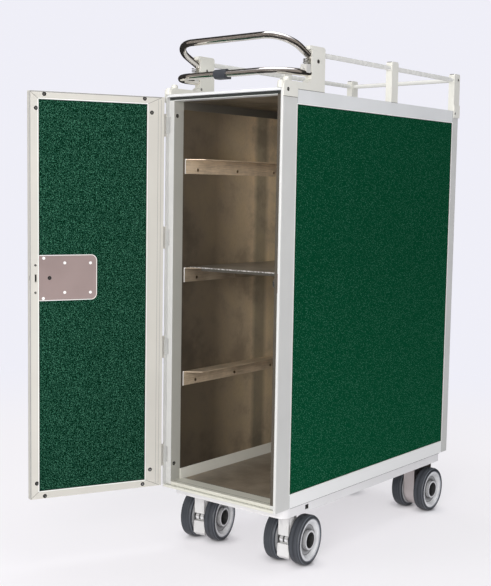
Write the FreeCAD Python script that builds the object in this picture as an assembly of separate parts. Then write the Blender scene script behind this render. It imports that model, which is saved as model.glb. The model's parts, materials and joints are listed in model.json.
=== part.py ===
"""Enclosed meal tray cart: an insulated cabinet on twin-wheel casters, with an open door.

Millimetres. The cabinet is drawn in its own frame: X across (0 in the middle), Y from the
front plane (0) to the rear, Z from the underside of the cabinet frame (0) upwards. Every
sub-part is then moved so that the finished cart stands on Z = 0 with the centre of its
outline at the origin.
"""
import os
from math import cos, pi, radians, sin, sqrt, tan

import FreeCAD
import Part

Vector = FreeCAD.Vector

# ---------------------------------------------------------------- driving dimensions
# cabinet box
BODY_WIDTH = 302.0
BODY_DEPTH = 726.0
BODY_HEIGHT = 836.0
RIDE_HEIGHT = 135.0          # floor to the underside of the cabinet frame
WALL = 18.0                  # outer face of the frame to the clear inside
LIP_WIDTH = 5.0              # rim that the closed door sits inside
REBATE_DEPTH = 8.0           # front plane to the land behind the door
FRONT_POST_FACE = 49.0       # width of the front post seen from the side
FRONT_POST_INSIDE = 38.0     # front plane to the rear edge of the jamb
REAR_POST_FACE = 30.0
RAIL_FACE = 29.0             # height of the side rails seen from the side
PANEL_SEAT = 20.0            # rail edge to the edge of the panel held in it
COVER = 1.5                  # cover flange that stands proud of the panels
LINER = 1.0                  # inner steel sheet
LOW_FLANGE_RISE = 35.0       # inner flange of the bottom rails above the underside
TOP_FLANGE_DROP = 29.0       # inner flange of the top rails below the top
INNER_FLANGE_PROUD = 1.5     # inner flange proud of the liner
EDGE_ROUND = 3.0             # rounding of the upright outer edges
HEADER_DEEP = 12.0           # height of the front header and depth of the deck
SILL_TOP = 12.0
SILL_DEPTH = 50.0
DECK_RECESS = 1.0            # top deck below the rails
FLOOR_RECESS = 1.0           # floor below the sill

# chassis
TRAY_HEIGHT = 20.0
TRAY_SIDE_INSET = 2.0
TRAY_FRONT_INSET = 33.0
TRAY_REAR_INSET = 26.0
TRAY_SHEET = 2.0
TRAY_CORNER = 20.0
TRAY_SLOT_LENGTH = 14.0
TRAY_SLOT_HEIGHT = 10.0
TRAY_SLOT_FROM_END = 116.0
BOSS_RADIUS = 22.0
BOSS_DROP = 1.0              # boss below the tray flange
STEM_END_GAP = 1.0
PAD_SIDE = 30.0
PAD_LENGTH = 90.0

# casters
WHEEL_RADIUS = 52.0
TYRE_SECTION = 8.0
WHEEL_WIDTH = 27.0
TREAD_ROUND = 4.5
WHEEL_TO_LEG = 2.0
HUB_FLANK = 1.5              # tyre and hub disc back from the hub's inner face
HUB_BOSS_RADIUS = 14.0
HUB_RIM_SLOPE = 6.0
TYRE_SIDE = 0.5
AXLE_RADIUS = 6.0
AXLE_NUT_RADIUS = 10.0
AXLE_NUT_THICK = 5.0
AXLE_NUT_GAP = 0.3
HUB_BORE_RADIUS = 16.5
HUB_WEB = 8.0                # inner face of the hub to the floor of its bore
HUB_RING_RADIUS = 20.5
HUB_RECESS_RADIUS = 31.5
HUB_RECESS_DEPTH = 7.0
HUB_RIM_STEP = 2.0
CASTER_INSET = 37.0          # outer side of the cabinet to the casters' middle
FRONT_CASTER_Y = 93.0
REAR_AXLE_INSET = 78.0
TRAIL = 27.5                 # swivel axis to the axle
FRONT_LEFT_SWIVEL = 10.0     # degrees, as the casters stand at rest
FRONT_RIGHT_SWIVEL = 6.0
STEM_RADIUS = 10.0
STEM_LENGTH = 16.0
SWIVEL_GAP = 0.6

# cast legs of the front casters and housings of the rear ones
LEG_WIDTH = 28.0
LEG_LEAD = 12.5              # swivel axis to the front face of the leg
LEG_FLOOR_GAP = 14.0
LEG_COLLAR_DROP = 8.0        # round collar under the swivel
LEG_COLLAR_RADIUS = 18.0
LEG_NECK_RADIUS = 16.5       # neck at the collar, from where it tapers
LEG_NECK_DROP = 31.0         # collar to the foot of the taper
LEG_WAIST = 24.0             # width between the taper and the window
LEG_REAR = 18.0              # swivel axis to the rear of the leg at its collar
LEG_HUB_RADIUS = 15.0
LEG_TOE = 20.0               # length of the leg's foot
LEG_CHAMFER = 6.0            # front and side chamfers of the foot
WINDOW_HEIGHT = 18.0
WINDOW_RISE = 3.5            # middle of the window over the axle
SLEEVE_RADIUS = 8.0
SLEEVE_SETBACK = 9.0         # front face of the leg to the middle of the sleeve
SLEEVE_GROOVE = 1.5
SLEEVE_GROOVE_WIDTH = 4.0
HOUSING_SHEET = 2.5
HOUSING_RADIUS = 42.0

# door, drawn closed and then swung open about the hinge
HINGE_INSET = 1.0            # outer side of the cabinet to the hinge axis
HINGE_PROUD = 3.7            # hinge axis before the front plane
DOOR_OPEN = 114.4            # degrees open at rest
DOOR_THICK = 14.0
DOOR_LAND_GAP = 1.0
DOOR_EDGE_GAP = 1.2
HINGE_EDGE_GAP = 0.8
HINGE_STILE = 34.0
FREE_STILE = 19.0
DOOR_RAIL = 15.8
HINGE_CAP = 4.2              # edge profile that carries the knuckles
DOOR_PANEL_INNER_RECESS = 0.8
DOOR_PANEL_OUTER_RECESS = 1.2
KNUCKLE_RADIUS = 3.3
PIN_RADIUS = 1.5
DOOR_KNUCKLE = 34.0
CABINET_KNUCKLE = 6.0
KNUCKLE_GAP = 0.4
WEB_THICK = 2.5
LOW_HINGES = (70.0, 305.0)   # middles of the hinges over the underside
HIGH_HINGES = (298.0, 63.0)  # and under the top

# latch
PLATE_THICK = 1.5
PLATE_FROM_HINGE = 153.0
PLATE_BELOW = 46.0           # spindle to the lower edge of the cover plate
PLATE_HEIGHT = 92.0
PLATE_CORNER = 12.0
SPINDLE_FROM_FREE_EDGE = 41.0
LATCH_HEIGHT = 459.0
SPINDLE_RADIUS = 4.0
CAM_RADIUS = 7.0
CAM_THICK = 3.0
BOLT_HEIGHT = 10.0
BOLT_THICK = 4.0
BOLT_TRAVEL = 5.0
BOLT_GAP = 0.3
BOLT_COVER = 2.0             # inner face of the door to the bolt
BOLT_LENGTH = 31.0
BOLT_SHY = 0.5               # bolt tip behind the door edge when drawn back
STRIKE_THICK = 1.0
STRIKE_HEIGHT = 38.0
KNOB_RADIUS = 21.0
KNOB_BASE = 4.0
KNOB_GAP = 0.4
WING_LENGTH = 38.0
WING_WIDTH = 9.0
WING_RISE = 12.0
VIEW_SLOT_WIDTH = 4.0
VIEW_SLOT_HEIGHT = 16.0
VIEW_SLOT_FROM_EDGE = 12.5

# inside
LEDGE_HEIGHTS = (248.0, 473.0, 704.0)
LEDGE_SHEET = 1.5
LEDGE_WIDTH = 35.0
LEDGE_FLANGE = 31.0
LEDGE_START = 44.0
LEDGE_LEAD_IN = 26.0
LEDGE_END_GAP = 14.0
LEDGE_SCREW_FROM_START = 40.0
LEDGE_SCREW_FROM_END = 58.0
LEDGE_SCREW_COUNT = 5
LEDGE_SCREW_DROP = 22.5
SHELF_SHEET = 1.5
SHELF_HEM = 6.0
SHELF_SIDE_GAP = 0.5
SHELF_START = 60.0
SHELF_END_GAP = 30.0
SHELF_LEVEL = 1              # index in LEDGE_HEIGHTS

# top brackets, guard rail and bows
BRACKET_THICK = 15.0
CORNER_BLOCK = 47.0
CORNER_RISE = 14.0
CORNER_DROP = 16.0
CORNER_PROUD = 2.0
CORNER_ROUND = 8.5           # upper front corner of the block that wraps the frame
ARM_ROUND = 13.0             # front end of the arm along the top
BUFFER_RADIUS = 6.5          # upright buffer at the front end of the arm
BUFFER_PROUD = 4.5           # buffer before the front plane
BUFFER_ROUND = 3.0
NUB_Y = 20.0
NUB_RADIUS = 7.0
NUB_RISE = 8.0
NUB_ROUND = 2.5
UPRIGHT_FRONT = 95.0
UPRIGHT_WIDTH = 47.0
UPRIGHT_RISE = 88.0
UPRIGHT_ROUND = 6.0
NOSE_LENGTH = 8.0
NOSE_GAP = 0.4              # stop nose over the resting bow
GUSSET_LENGTH = 14.0
GUSSET_HEIGHT = 9.0
POST_FROM_REAR = 307.0       # rear plane to the middle guard post
POST_LENGTH = 27.0
POST_ROUND = 5.0
REAR_POST_LENGTH = 26.0
RAIL_RADIUS = 5.0
RAIL_RISE = 74.0             # guard rail axis over the cabinet top
RAIL_SEAT = 8.0              # rail end inside its post
RAIL_FIT = 0.1
BOW_RADIUS = 7.0
BOW_INSET = 7.0              # outer side of the cabinet to the bows' ends
LOWER_BOW_RISE = 34.0
LOWER_BOW_FRONT = 5.0
LOWER_BOW_CORNER = 59.0
SPIGOT_RADIUS = 5.0
SPIGOT_LENGTH = 14.0
UPPER_BOW_FRONT = 14.0
UPPER_BOW_CORNER = 53.0
UPPER_BOW_SLOPE = 23.5       # degrees at rest
UPPER_BOW_TRAVEL = 6.0       # degrees that it presses down
PIVOT_FROM_FACE = 22.0       # front face of the upright to the pivot
PIVOT_RISE = 59.0
PIVOT_RADIUS = 3.0
TONGUE_THICK = 8.0
TONGUE_HEIGHT = 12.0
TONGUE_START = 28.0          # pivot to the end of the round tube
TONGUE_SIDE_GAP = 0.5
SLOT_BEHIND_PIVOT = 10.0
SLOT_BELOW = 14.0
SLOT_ABOVE = 18.0
SEAT_Y = 84.0
SEAT_SIDE = 14.0
SEAT_RISE = 10.0             # top of the seat over the lower bow
SPRING_RADIUS = 4.8          # centre line of the coil
SPRING_WIRE = 1.0            # wire radius
SPRING_SIDES = 8             # sides of the wire's drawn section
SPRING_HEAD_GAP = 0.4
CLIP_LENGTH = 29.0
CLIP_LEFT = 5.0              # middle of the cart to the middle of the clip
CLIP_WALL = 2.6
CLIP_MOUTH = 8.0
CLIP_TAB = 7.0
BUTTON_Y = 70.0
BUTTON_RADIUS = 3.5
BUTTON_RISE = 3.0

# fits and fasteners
RUNNING_FIT = 0.05           # radial, shaft in hole
SCREW_RADIUS = 3.2
SCREW_HEAD = 0.8
RIVET_RADIUS = 3.0

# ---------------------------------------------------------------- derived places
HALF = BODY_WIDTH / 2
INSIDE = HALF - WALL
PANEL_IN = INSIDE + LINER
PANEL_OUT = HALF - COVER
REAR_INSIDE = BODY_DEPTH - WALL
REAR_PANEL_IN = REAR_INSIDE + LINER
REAR_PANEL_OUT = BODY_DEPTH - COVER
CEILING = BODY_HEIGHT - HEADER_DEEP
CASTER_X = HALF - CASTER_INSET
REAR_AXLE_Y = BODY_DEPTH - REAR_AXLE_INSET
HINGE_X = -HALF + HINGE_INSET
HINGE_Y = -HINGE_PROUD
HINGE_HEIGHTS = LOW_HINGES + tuple(BODY_HEIGHT - drop for drop in HIGH_HINGES)
BOW_X = HALF - BOW_INSET
POST_MIDDLE_Y = BODY_DEPTH - POST_FROM_REAR
FLANGE_X = INSIDE - INNER_FLANGE_PROUD
RAIL_X = HALF - BRACKET_THICK / 2
RAIL_Z = BODY_HEIGHT + RAIL_RISE
UPRIGHT_REAR = UPRIGHT_FRONT + UPRIGHT_WIDTH
UPRIGHT_TOP = BODY_HEIGHT + UPRIGHT_RISE
REAR_POST_Y = BODY_DEPTH - REAR_POST_LENGTH
AXLE_Z = WHEEL_RADIUS - RIDE_HEIGHT
WHEEL_IN = LEG_WIDTH / 2 + WHEEL_TO_LEG
WHEEL_OUT = WHEEL_IN + WHEEL_WIDTH
RIM_RADIUS = WHEEL_RADIUS - TYRE_SECTION
LEG_TOP = -TRAY_HEIGHT - BOSS_DROP - SWIVEL_GAP
LEG_BOTTOM = LEG_FLOOR_GAP - RIDE_HEIGHT
SLEEVE_Y = -LEG_LEAD + SLEEVE_SETBACK
WINDOW_Z = AXLE_Z + WINDOW_RISE
PLATE_LOW = LATCH_HEIGHT - PLATE_BELOW
DOOR_INNER = REBATE_DEPTH - DOOR_LAND_GAP
DOOR_OUTER = DOOR_INNER - DOOR_THICK
DOOR_FREE_X = HALF - LIP_WIDTH - DOOR_EDGE_GAP
DOOR_CAP_X = -HALF + LIP_WIDTH + HINGE_EDGE_GAP
DOOR_FRAME_X = DOOR_CAP_X + HINGE_CAP
DOOR_LOW = LIP_WIDTH + DOOR_EDGE_GAP
DOOR_HIGH = BODY_HEIGHT - LIP_WIDTH - DOOR_EDGE_GAP
SPINDLE_X = DOOR_FREE_X - SPINDLE_FROM_FREE_EDGE
BOLT_MIDDLE_Y = DOOR_INNER - BOLT_COVER - BOLT_THICK / 2
PIVOT_Y = UPRIGHT_FRONT + PIVOT_FROM_FACE
PIVOT_Z = BODY_HEIGHT + PIVOT_RISE
LOWER_BOW_Z = BODY_HEIGHT + LOWER_BOW_RISE
SEAT_TOP = LOWER_BOW_Z + BOW_RADIUS + SEAT_RISE
SLOPE = radians(UPPER_BOW_SLOPE)
RIVETS = ((113.0, 86.0), (69.0, 76.0), (14.0, 75.0), (69.0, 16.0), (14.0, 15.0), (114.0, 5.0))


# ---------------------------------------------------------------- shape helpers
def block(x0, x1, y0, y1, z0, z1):
    return Part.makeBox(x1 - x0, y1 - y0, z1 - z0, Vector(x0, y0, z0))


def rod(x, y, z, axis, radius, length):
    """A cylinder that starts at (x, y, z) and runs along axis."""
    return Part.makeCylinder(radius, length, Vector(x, y, z), axis)


X_AXIS = Vector(1, 0, 0)
Y_AXIS = Vector(0, 1, 0)
Z_AXIS = Vector(0, 0, 1)


def prism_z(outline, z0, z1):
    """An outline of (x, y) points, extruded from z0 to z1."""
    points = [Vector(x, y, z0) for x, y in outline]
    return Part.Face(Part.makePolygon(points + points[:1])).extrude(Vector(0, 0, z1 - z0))


def prism_y(outline, y0, y1):
    """An outline of (x, z) points, extruded from y0 to y1."""
    points = [Vector(x, y0, z) for x, z in outline]
    return Part.Face(Part.makePolygon(points + points[:1])).extrude(Vector(0, y1 - y0, 0))


def prism_x(outline, x0, x1):
    """An outline of (y, z) points, extruded from x0 to x1."""
    points = [Vector(x0, y, z) for y, z in outline]
    return Part.Face(Part.makePolygon(points + points[:1])).extrude(Vector(x1 - x0, 0, 0))


def lathe_x(outline):
    """A closed outline of (x, radius) points, turned about the X axis."""
    points = [Vector(x, 0, radius) for x, radius in outline]
    face = Part.Face(Part.makePolygon(points + points[:1]))
    return face.revolve(Vector(0, 0, 0), X_AXIS, 360)


def mirrored(shape):
    """The same shape on the other side of the cart."""
    return shape.mirror(Vector(0, 0, 0), X_AXIS)


def moved(shape, x, y, z):
    copy = shape.copy()
    copy.translate(Vector(x, y, z))
    return copy


def turned(shape, x, y, degrees):
    """A copy turned about the upright line through (x, y)."""
    copy = shape.copy()
    copy.rotate(Vector(x, y, 0), Z_AXIS, degrees)
    return copy


def near(value, target):
    return abs(value - target) < 1e-3


def round_upright_edges(shape, places, radius):
    """Round the vertical edges that stand at the given (x, y) places."""
    def wanted(edge):
        ends = [vertex.Point for vertex in edge.Vertexes]
        if len(ends) != 2 or near(ends[0].z, ends[1].z):
            return False
        return any(all(near(end.x, x) and near(end.y, y) for end in ends) for x, y in places)
    return shape.makeFillet(radius, [edge for edge in shape.Edges if wanted(edge)])


def round_cross_edges(shape, places, radius):
    """Round the edges along X that lie at the given (y, z) places."""
    def wanted(edge):
        ends = [vertex.Point for vertex in edge.Vertexes]
        if len(ends) != 2 or near(ends[0].x, ends[1].x):
            return False
        return any(all(near(end.y, y) and near(end.z, z) for end in ends) for y, z in places)
    return shape.makeFillet(radius, [edge for edge in shape.Edges if wanted(edge)])


# ---------------------------------------------------------------- cabinet frame
def front_post():
    """Right front post: lip, land behind the door and cover flange over the panel."""
    outline = [(HALF - LIP_WIDTH, 0), (HALF, 0), (HALF, FRONT_POST_FACE), (PANEL_OUT, FRONT_POST_FACE),
               (PANEL_OUT, FRONT_POST_INSIDE), (INSIDE, FRONT_POST_INSIDE), (INSIDE, REBATE_DEPTH),
               (HALF - LIP_WIDTH, REBATE_DEPTH)]
    return round_upright_edges(prism_z(outline, 0, BODY_HEIGHT), [(HALF, 0)], EDGE_ROUND)


def right_front_post():
    """Front post with the pocket for the latch bolt and the seat of the strike plate."""
    lip_in = HALF - LIP_WIDTH
    post = front_post().cut(strike_blank())
    half_thick = BOLT_THICK / 2 + BOLT_GAP
    half_high = BOLT_HEIGHT / 2 + BOLT_GAP
    pocket = block(lip_in, DOOR_FREE_X - BOLT_SHY + BOLT_TRAVEL + BOLT_GAP,
                   BOLT_MIDDLE_Y - half_thick, BOLT_MIDDLE_Y + half_thick,
                   LATCH_HEIGHT - half_high, LATCH_HEIGHT + half_high)
    return post.cut(pocket)


def left_front_post():
    """Front post with a pocket in its land beside each hinge knuckle."""
    post = mirrored(front_post())
    lip_in = -HALF + LIP_WIDTH
    for height in HINGE_HEIGHTS:
        post = post.cut(block(lip_in, lip_in + KNUCKLE_RADIUS + PIN_RADIUS, REBATE_DEPTH,
                              REBATE_DEPTH + KNUCKLE_RADIUS, height - DOOR_KNUCKLE / 2,
                              height + DOOR_KNUCKLE / 2))
    return post


def rear_post():
    outline = [(PANEL_OUT, REAR_INSIDE), (PANEL_IN, REAR_INSIDE), (PANEL_IN, REAR_PANEL_IN),
               (INSIDE, REAR_PANEL_IN), (INSIDE, REAR_PANEL_OUT), (HALF - RAIL_FACE, REAR_PANEL_OUT),
               (HALF - RAIL_FACE, BODY_DEPTH), (HALF, BODY_DEPTH), (HALF, BODY_DEPTH - REAR_POST_FACE),
               (PANEL_OUT, BODY_DEPTH - REAR_POST_FACE)]
    return round_upright_edges(prism_z(outline, 0, BODY_HEIGHT), [(HALF, BODY_DEPTH)], EDGE_ROUND)


def upside_down(shape):
    """The bottom rail's section turned over for the top."""
    return shape.mirror(Vector(0, 0, BODY_HEIGHT / 2), Z_AXIS)


def side_rail(flange):
    """Right bottom rail: body, outer cover flange and inner flange of the given height."""
    outline = [(FLANGE_X, 0), (HALF, 0), (HALF, RAIL_FACE), (PANEL_OUT, RAIL_FACE), (PANEL_OUT, PANEL_SEAT),
               (PANEL_IN, PANEL_SEAT), (PANEL_IN, flange), (FLANGE_X, flange)]
    rail = prism_y(outline, FRONT_POST_INSIDE, REAR_INSIDE)
    rail = rail.cut(block(PANEL_OUT, HALF, FRONT_POST_INSIDE, FRONT_POST_FACE, 0, RAIL_FACE))
    return rail.cut(block(PANEL_OUT, HALF, BODY_DEPTH - REAR_POST_FACE, REAR_INSIDE, 0, RAIL_FACE))


def rear_rail(flange):
    outline = [(REAR_INSIDE, 0), (BODY_DEPTH, 0), (BODY_DEPTH, RAIL_FACE), (REAR_PANEL_OUT, RAIL_FACE),
               (REAR_PANEL_OUT, PANEL_SEAT), (REAR_PANEL_IN, PANEL_SEAT),
               (REAR_PANEL_IN, flange), (REAR_INSIDE, flange)]
    rail = prism_x(outline, -INSIDE, INSIDE)
    corner = block(HALF - RAIL_FACE, INSIDE, REAR_PANEL_OUT, BODY_DEPTH, 0, RAIL_FACE)
    return rail.cut(corner).cut(mirrored(corner))


def rail_set(flange):
    return [side_rail(flange), mirrored(side_rail(flange)), rear_rail(flange)]


def frame_rails():
    return rail_set(LOW_FLANGE_RISE) + [upside_down(rail) for rail in rail_set(TOP_FLANGE_DROP)]


def front_sill():
    lip = block(-HALF + LIP_WIDTH, HALF - LIP_WIDTH, 0, REBATE_DEPTH, 0, LIP_WIDTH)
    between_posts = block(-INSIDE, INSIDE, REBATE_DEPTH, FRONT_POST_INSIDE, 0, SILL_TOP)
    between_rails = block(-FLANGE_X, FLANGE_X, FRONT_POST_INSIDE, SILL_DEPTH, 0, SILL_TOP)
    return lip.fuse([between_posts, between_rails]).removeSplitter()


def front_header():
    top = BODY_HEIGHT
    lip = block(-HALF + LIP_WIDTH, HALF - LIP_WIDTH, 0, REBATE_DEPTH, top - LIP_WIDTH, top)
    beam = block(-INSIDE, INSIDE, REBATE_DEPTH, FRONT_POST_INSIDE, CEILING, top)
    return lip.fuse(beam).removeSplitter()


# ---------------------------------------------------------------- panels and lining
def side_panel():
    return block(PANEL_IN, PANEL_OUT, FRONT_POST_INSIDE, REAR_INSIDE, PANEL_SEAT, BODY_HEIGHT - PANEL_SEAT)


def rear_panel():
    return block(-INSIDE, INSIDE, REAR_PANEL_IN, REAR_PANEL_OUT, PANEL_SEAT, BODY_HEIGHT - PANEL_SEAT)


def top_deck():
    return block(-FLANGE_X, FLANGE_X, FRONT_POST_INSIDE, REAR_INSIDE, CEILING, BODY_HEIGHT - DECK_RECESS)


def floor_pan():
    return block(-FLANGE_X, FLANGE_X, SILL_DEPTH, REAR_INSIDE, 0, SILL_TOP - FLOOR_RECESS)


def inner_liner():
    """One folded sheet: left wall, back and right wall."""
    low = LOW_FLANGE_RISE
    high = BODY_HEIGHT - TOP_FLANGE_DROP
    outside = block(-PANEL_IN, PANEL_IN, FRONT_POST_INSIDE, REAR_PANEL_IN, low, high)
    return outside.cut(block(-INSIDE, INSIDE, FRONT_POST_INSIDE, REAR_INSIDE, low, high))


# ---------------------------------------------------------------- chassis
def tray_outline(inset, z0, z1):
    """The tray's rounded outline, drawn in by the given inset."""
    side = HALF - TRAY_SIDE_INSET - inset
    front = TRAY_FRONT_INSET + inset
    rear = BODY_DEPTH - TRAY_REAR_INSET - inset
    places = [(x, y) for x in (-side, side) for y in (front, rear)]
    return round_upright_edges(block(-side, side, front, rear, z0, z1), places, TRAY_CORNER - inset)


def chassis_tray():
    """Folded tray under the cabinet, with swivel bosses, rear pads and side slots."""
    tray = tray_outline(0, -TRAY_HEIGHT, 0).cut(tray_outline(TRAY_SHEET, -TRAY_HEIGHT, -TRAY_SHEET))
    boss_height = TRAY_HEIGHT + BOSS_DROP - TRAY_SHEET
    boss_low = -TRAY_HEIGHT - BOSS_DROP
    boss = rod(CASTER_X, FRONT_CASTER_Y, boss_low, Z_AXIS, BOSS_RADIUS, boss_height)
    pad = block(CASTER_X - PAD_SIDE / 2, CASTER_X + PAD_SIDE / 2, REAR_AXLE_Y - PAD_LENGTH / 2,
                REAR_AXLE_Y + PAD_LENGTH / 2, -TRAY_HEIGHT, -TRAY_SHEET)
    tray = tray.fuse([boss, mirrored(boss), pad, mirrored(pad)])
    bore = rod(CASTER_X, FRONT_CASTER_Y, boss_low, Z_AXIS, STEM_RADIUS + RUNNING_FIT,
               STEM_LENGTH - SWIVEL_GAP + STEM_END_GAP)
    tray = tray.cut(bore).cut(mirrored(bore))
    slot_low = -(TRAY_HEIGHT + TRAY_SLOT_HEIGHT) / 2
    flange_in = HALF - TRAY_SIDE_INSET - TRAY_SHEET
    for middle in (TRAY_SLOT_FROM_END, BODY_DEPTH - TRAY_SLOT_FROM_END):
        slot = block(flange_in, HALF, middle - TRAY_SLOT_LENGTH / 2, middle + TRAY_SLOT_LENGTH / 2,
                     slot_low, slot_low + TRAY_SLOT_HEIGHT)
        tray = tray.cut(slot).cut(mirrored(slot))
    return tray


# ---------------------------------------------------------------- casters
def wheel_hub():
    """Outer wheel's hub about the X axis: deep bore, ring, dished recess and rim."""
    inner, outer = WHEEL_IN, WHEEL_OUT
    rim_face = outer - HUB_RIM_STEP
    dish = rim_face - HUB_RECESS_DEPTH
    bore = AXLE_RADIUS + RUNNING_FIT
    return lathe_x([(inner, bore), (inner, HUB_BOSS_RADIUS), (inner + HUB_FLANK, HUB_BOSS_RADIUS),
                    (inner + HUB_FLANK, RIM_RADIUS), (rim_face, RIM_RADIUS),
                    (rim_face, HUB_RECESS_RADIUS + HUB_RIM_SLOPE), (dish, HUB_RECESS_RADIUS),
                    (dish, HUB_RING_RADIUS), (rim_face + HUB_RIM_STEP / 2, HUB_RING_RADIUS),
                    (rim_face + HUB_RIM_STEP / 2, HUB_BORE_RADIUS), (inner + HUB_WEB, HUB_BORE_RADIUS),
                    (inner + HUB_WEB, bore)])


def wheel_tyre():
    """Outer wheel's tyre, each tread shoulder rounded in two cones."""
    inner, outer = WHEEL_IN + TYRE_SIDE, WHEEL_OUT - TYRE_SIDE
    shoulder = WHEEL_RADIUS - TREAD_ROUND
    bend = TREAD_ROUND * (1 - sqrt(0.5))
    return lathe_x([(inner, RIM_RADIUS), (inner, shoulder), (inner + bend, WHEEL_RADIUS - bend),
                    (inner + TREAD_ROUND, WHEEL_RADIUS), (outer - TREAD_ROUND, WHEEL_RADIUS),
                    (outer - bend, WHEEL_RADIUS - bend), (outer, shoulder), (outer, RIM_RADIUS)])


def hexagon_x(x0, x1, radius):
    """A hexagonal nut about the X axis."""
    corners = [(radius * cos(k * pi / 3), radius * sin(k * pi / 3)) for k in range(6)]
    return prism_x(corners, x0, x1)


def wheel_axle():
    """Axle about the X axis with a nut at the floor of each hub bore."""
    nut_in = WHEEL_IN + HUB_WEB + AXLE_NUT_GAP
    nut_out = nut_in + AXLE_NUT_THICK
    shaft = rod(-nut_out, 0, 0, X_AXIS, AXLE_RADIUS, 2 * nut_out)
    return shaft.fuse([hexagon_x(nut_in, nut_out, AXLE_NUT_RADIUS),
                       hexagon_x(-nut_out, -nut_in, AXLE_NUT_RADIUS)]).removeSplitter()


def leg_web(collar):
    """The leg seen from the side, cut to its outline as seen from the front."""
    half, waist, foot = LEG_WIDTH / 2, LEG_WAIST / 2, LEG_WIDTH / 2 - LEG_CHAMFER / 2
    hub_reach = LEG_HUB_RADIUS * sqrt(0.5)
    side_view = [(-LEG_LEAD, collar), (-LEG_LEAD, LEG_BOTTOM + LEG_CHAMFER),
                 (-LEG_LEAD + LEG_CHAMFER, LEG_BOTTOM), (-LEG_LEAD + LEG_TOE, LEG_BOTTOM),
                 (TRAIL + hub_reach, AXLE_Z - hub_reach), (TRAIL + hub_reach, AXLE_Z + hub_reach),
                 (LEG_REAR, collar)]
    right = [(waist, collar), (waist, WINDOW_Z), (half, WINDOW_Z - WINDOW_HEIGHT),
             (half, LEG_BOTTOM + LEG_CHAMFER), (foot, LEG_BOTTOM)]
    left = [(-x, z) for x, z in reversed(right)]
    front_view = prism_y(right + left, -LEG_LEAD, TRAIL + LEG_HUB_RADIUS)
    return prism_x(side_view, -half, half).common(front_view)


def caster_leg():
    """Cast leg of a front caster about its swivel axis, axle behind, window in front."""
    half = LEG_WIDTH / 2
    collar = LEG_TOP - LEG_COLLAR_DROP
    neck = Part.makeCone(LEG_WAIST / 2, LEG_NECK_RADIUS, LEG_NECK_DROP, Vector(0, 0, collar - LEG_NECK_DROP))
    leg = leg_web(collar).fuse([neck, rod(-half, TRAIL, AXLE_Z, X_AXIS, LEG_HUB_RADIUS, LEG_WIDTH),
                                rod(0, 0, collar, Z_AXIS, LEG_COLLAR_RADIUS, LEG_COLLAR_DROP),
                                rod(0, 0, LEG_TOP, Z_AXIS, STEM_RADIUS, STEM_LENGTH)]).removeSplitter()
    leg = leg.cut(rod(-half, TRAIL, AXLE_Z, X_AXIS, AXLE_RADIUS, LEG_WIDTH))
    window = block(-half, half, -LEG_LEAD, SLEEVE_Y, WINDOW_Z - WINDOW_HEIGHT / 2,
                   WINDOW_Z + WINDOW_HEIGHT / 2)
    return leg.cut(window).cut(rod(-half, SLEEVE_Y, WINDOW_Z, X_AXIS, SLEEVE_RADIUS, LEG_WIDTH))


def lock_sleeve():
    """Bright grooved sleeve that lies across the window of a front leg."""
    half, groove = LEG_WAIST / 2, SLEEVE_GROOVE_WIDTH / 2
    low = SLEEVE_RADIUS - SLEEVE_GROOVE
    sleeve = lathe_x([(-half, 0), (-half, SLEEVE_RADIUS), (-groove, SLEEVE_RADIUS), (-groove, low),
                      (groove, low), (groove, SLEEVE_RADIUS), (half, SLEEVE_RADIUS), (half, 0)])
    return moved(sleeve, 0, SLEEVE_Y, WINDOW_Z)


def rear_bracket():
    """Steel housing of a fixed rear caster, round about the axle and open at the top."""
    def form(half, radius):
        drum = rod(-half, 0, AXLE_Z, X_AXIS, radius, 2 * half)
        return drum.fuse(block(-half, half, -radius, radius, AXLE_Z, -TRAY_HEIGHT)).removeSplitter()
    half = LEG_WIDTH / 2
    shell = form(half, HOUSING_RADIUS).cut(form(half - HOUSING_SHEET, HOUSING_RADIUS - HOUSING_SHEET))
    return shell.cut(rod(-half, 0, AXLE_Z, X_AXIS, AXLE_RADIUS, LEG_WIDTH))


def on_axle(shape, side, front):
    """Set a shape made about the X axis on one of the four axles."""
    if not front:
        return moved(shape, side * CASTER_X, REAR_AXLE_Y, AXLE_Z)
    return on_swivel(moved(shape, 0, TRAIL, AXLE_Z), side)


def on_swivel(shape, side):
    """Set a shape made about a swivel axis on the left or right front caster."""
    angle = FRONT_RIGHT_SWIVEL if side > 0 else FRONT_LEFT_SWIVEL
    return turned(moved(shape, side * CASTER_X, FRONT_CASTER_Y, 0), side * CASTER_X, FRONT_CASTER_Y, angle)


# ---------------------------------------------------------------- hinges and door
def hinge_pin_reach():
    return DOOR_KNUCKLE / 2 + KNUCKLE_GAP + CABINET_KNUCKLE


def cabinet_knuckles():
    """Knuckles above and below each door knuckle, on webs from the front lip."""
    pieces = []
    for height in HINGE_HEIGHTS:
        for low in (height - hinge_pin_reach(), height + DOOR_KNUCKLE / 2 + KNUCKLE_GAP):
            barrel = rod(HINGE_X, HINGE_Y, low, Z_AXIS, KNUCKLE_RADIUS, CABINET_KNUCKLE)
            web = block(-HALF, HINGE_X + KNUCKLE_RADIUS, HINGE_Y, 0, low, low + CABINET_KNUCKLE)
            pin_hole = rod(HINGE_X, HINGE_Y, low, Z_AXIS, PIN_RADIUS, CABINET_KNUCKLE)
            pieces.append(barrel.fuse(web).removeSplitter().cut(pin_hole))
    return pieces


def hinge_pins():
    reach = hinge_pin_reach()
    return [rod(HINGE_X, HINGE_Y, height - reach, Z_AXIS, PIN_RADIUS, 2 * reach) for height in HINGE_HEIGHTS]


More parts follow.
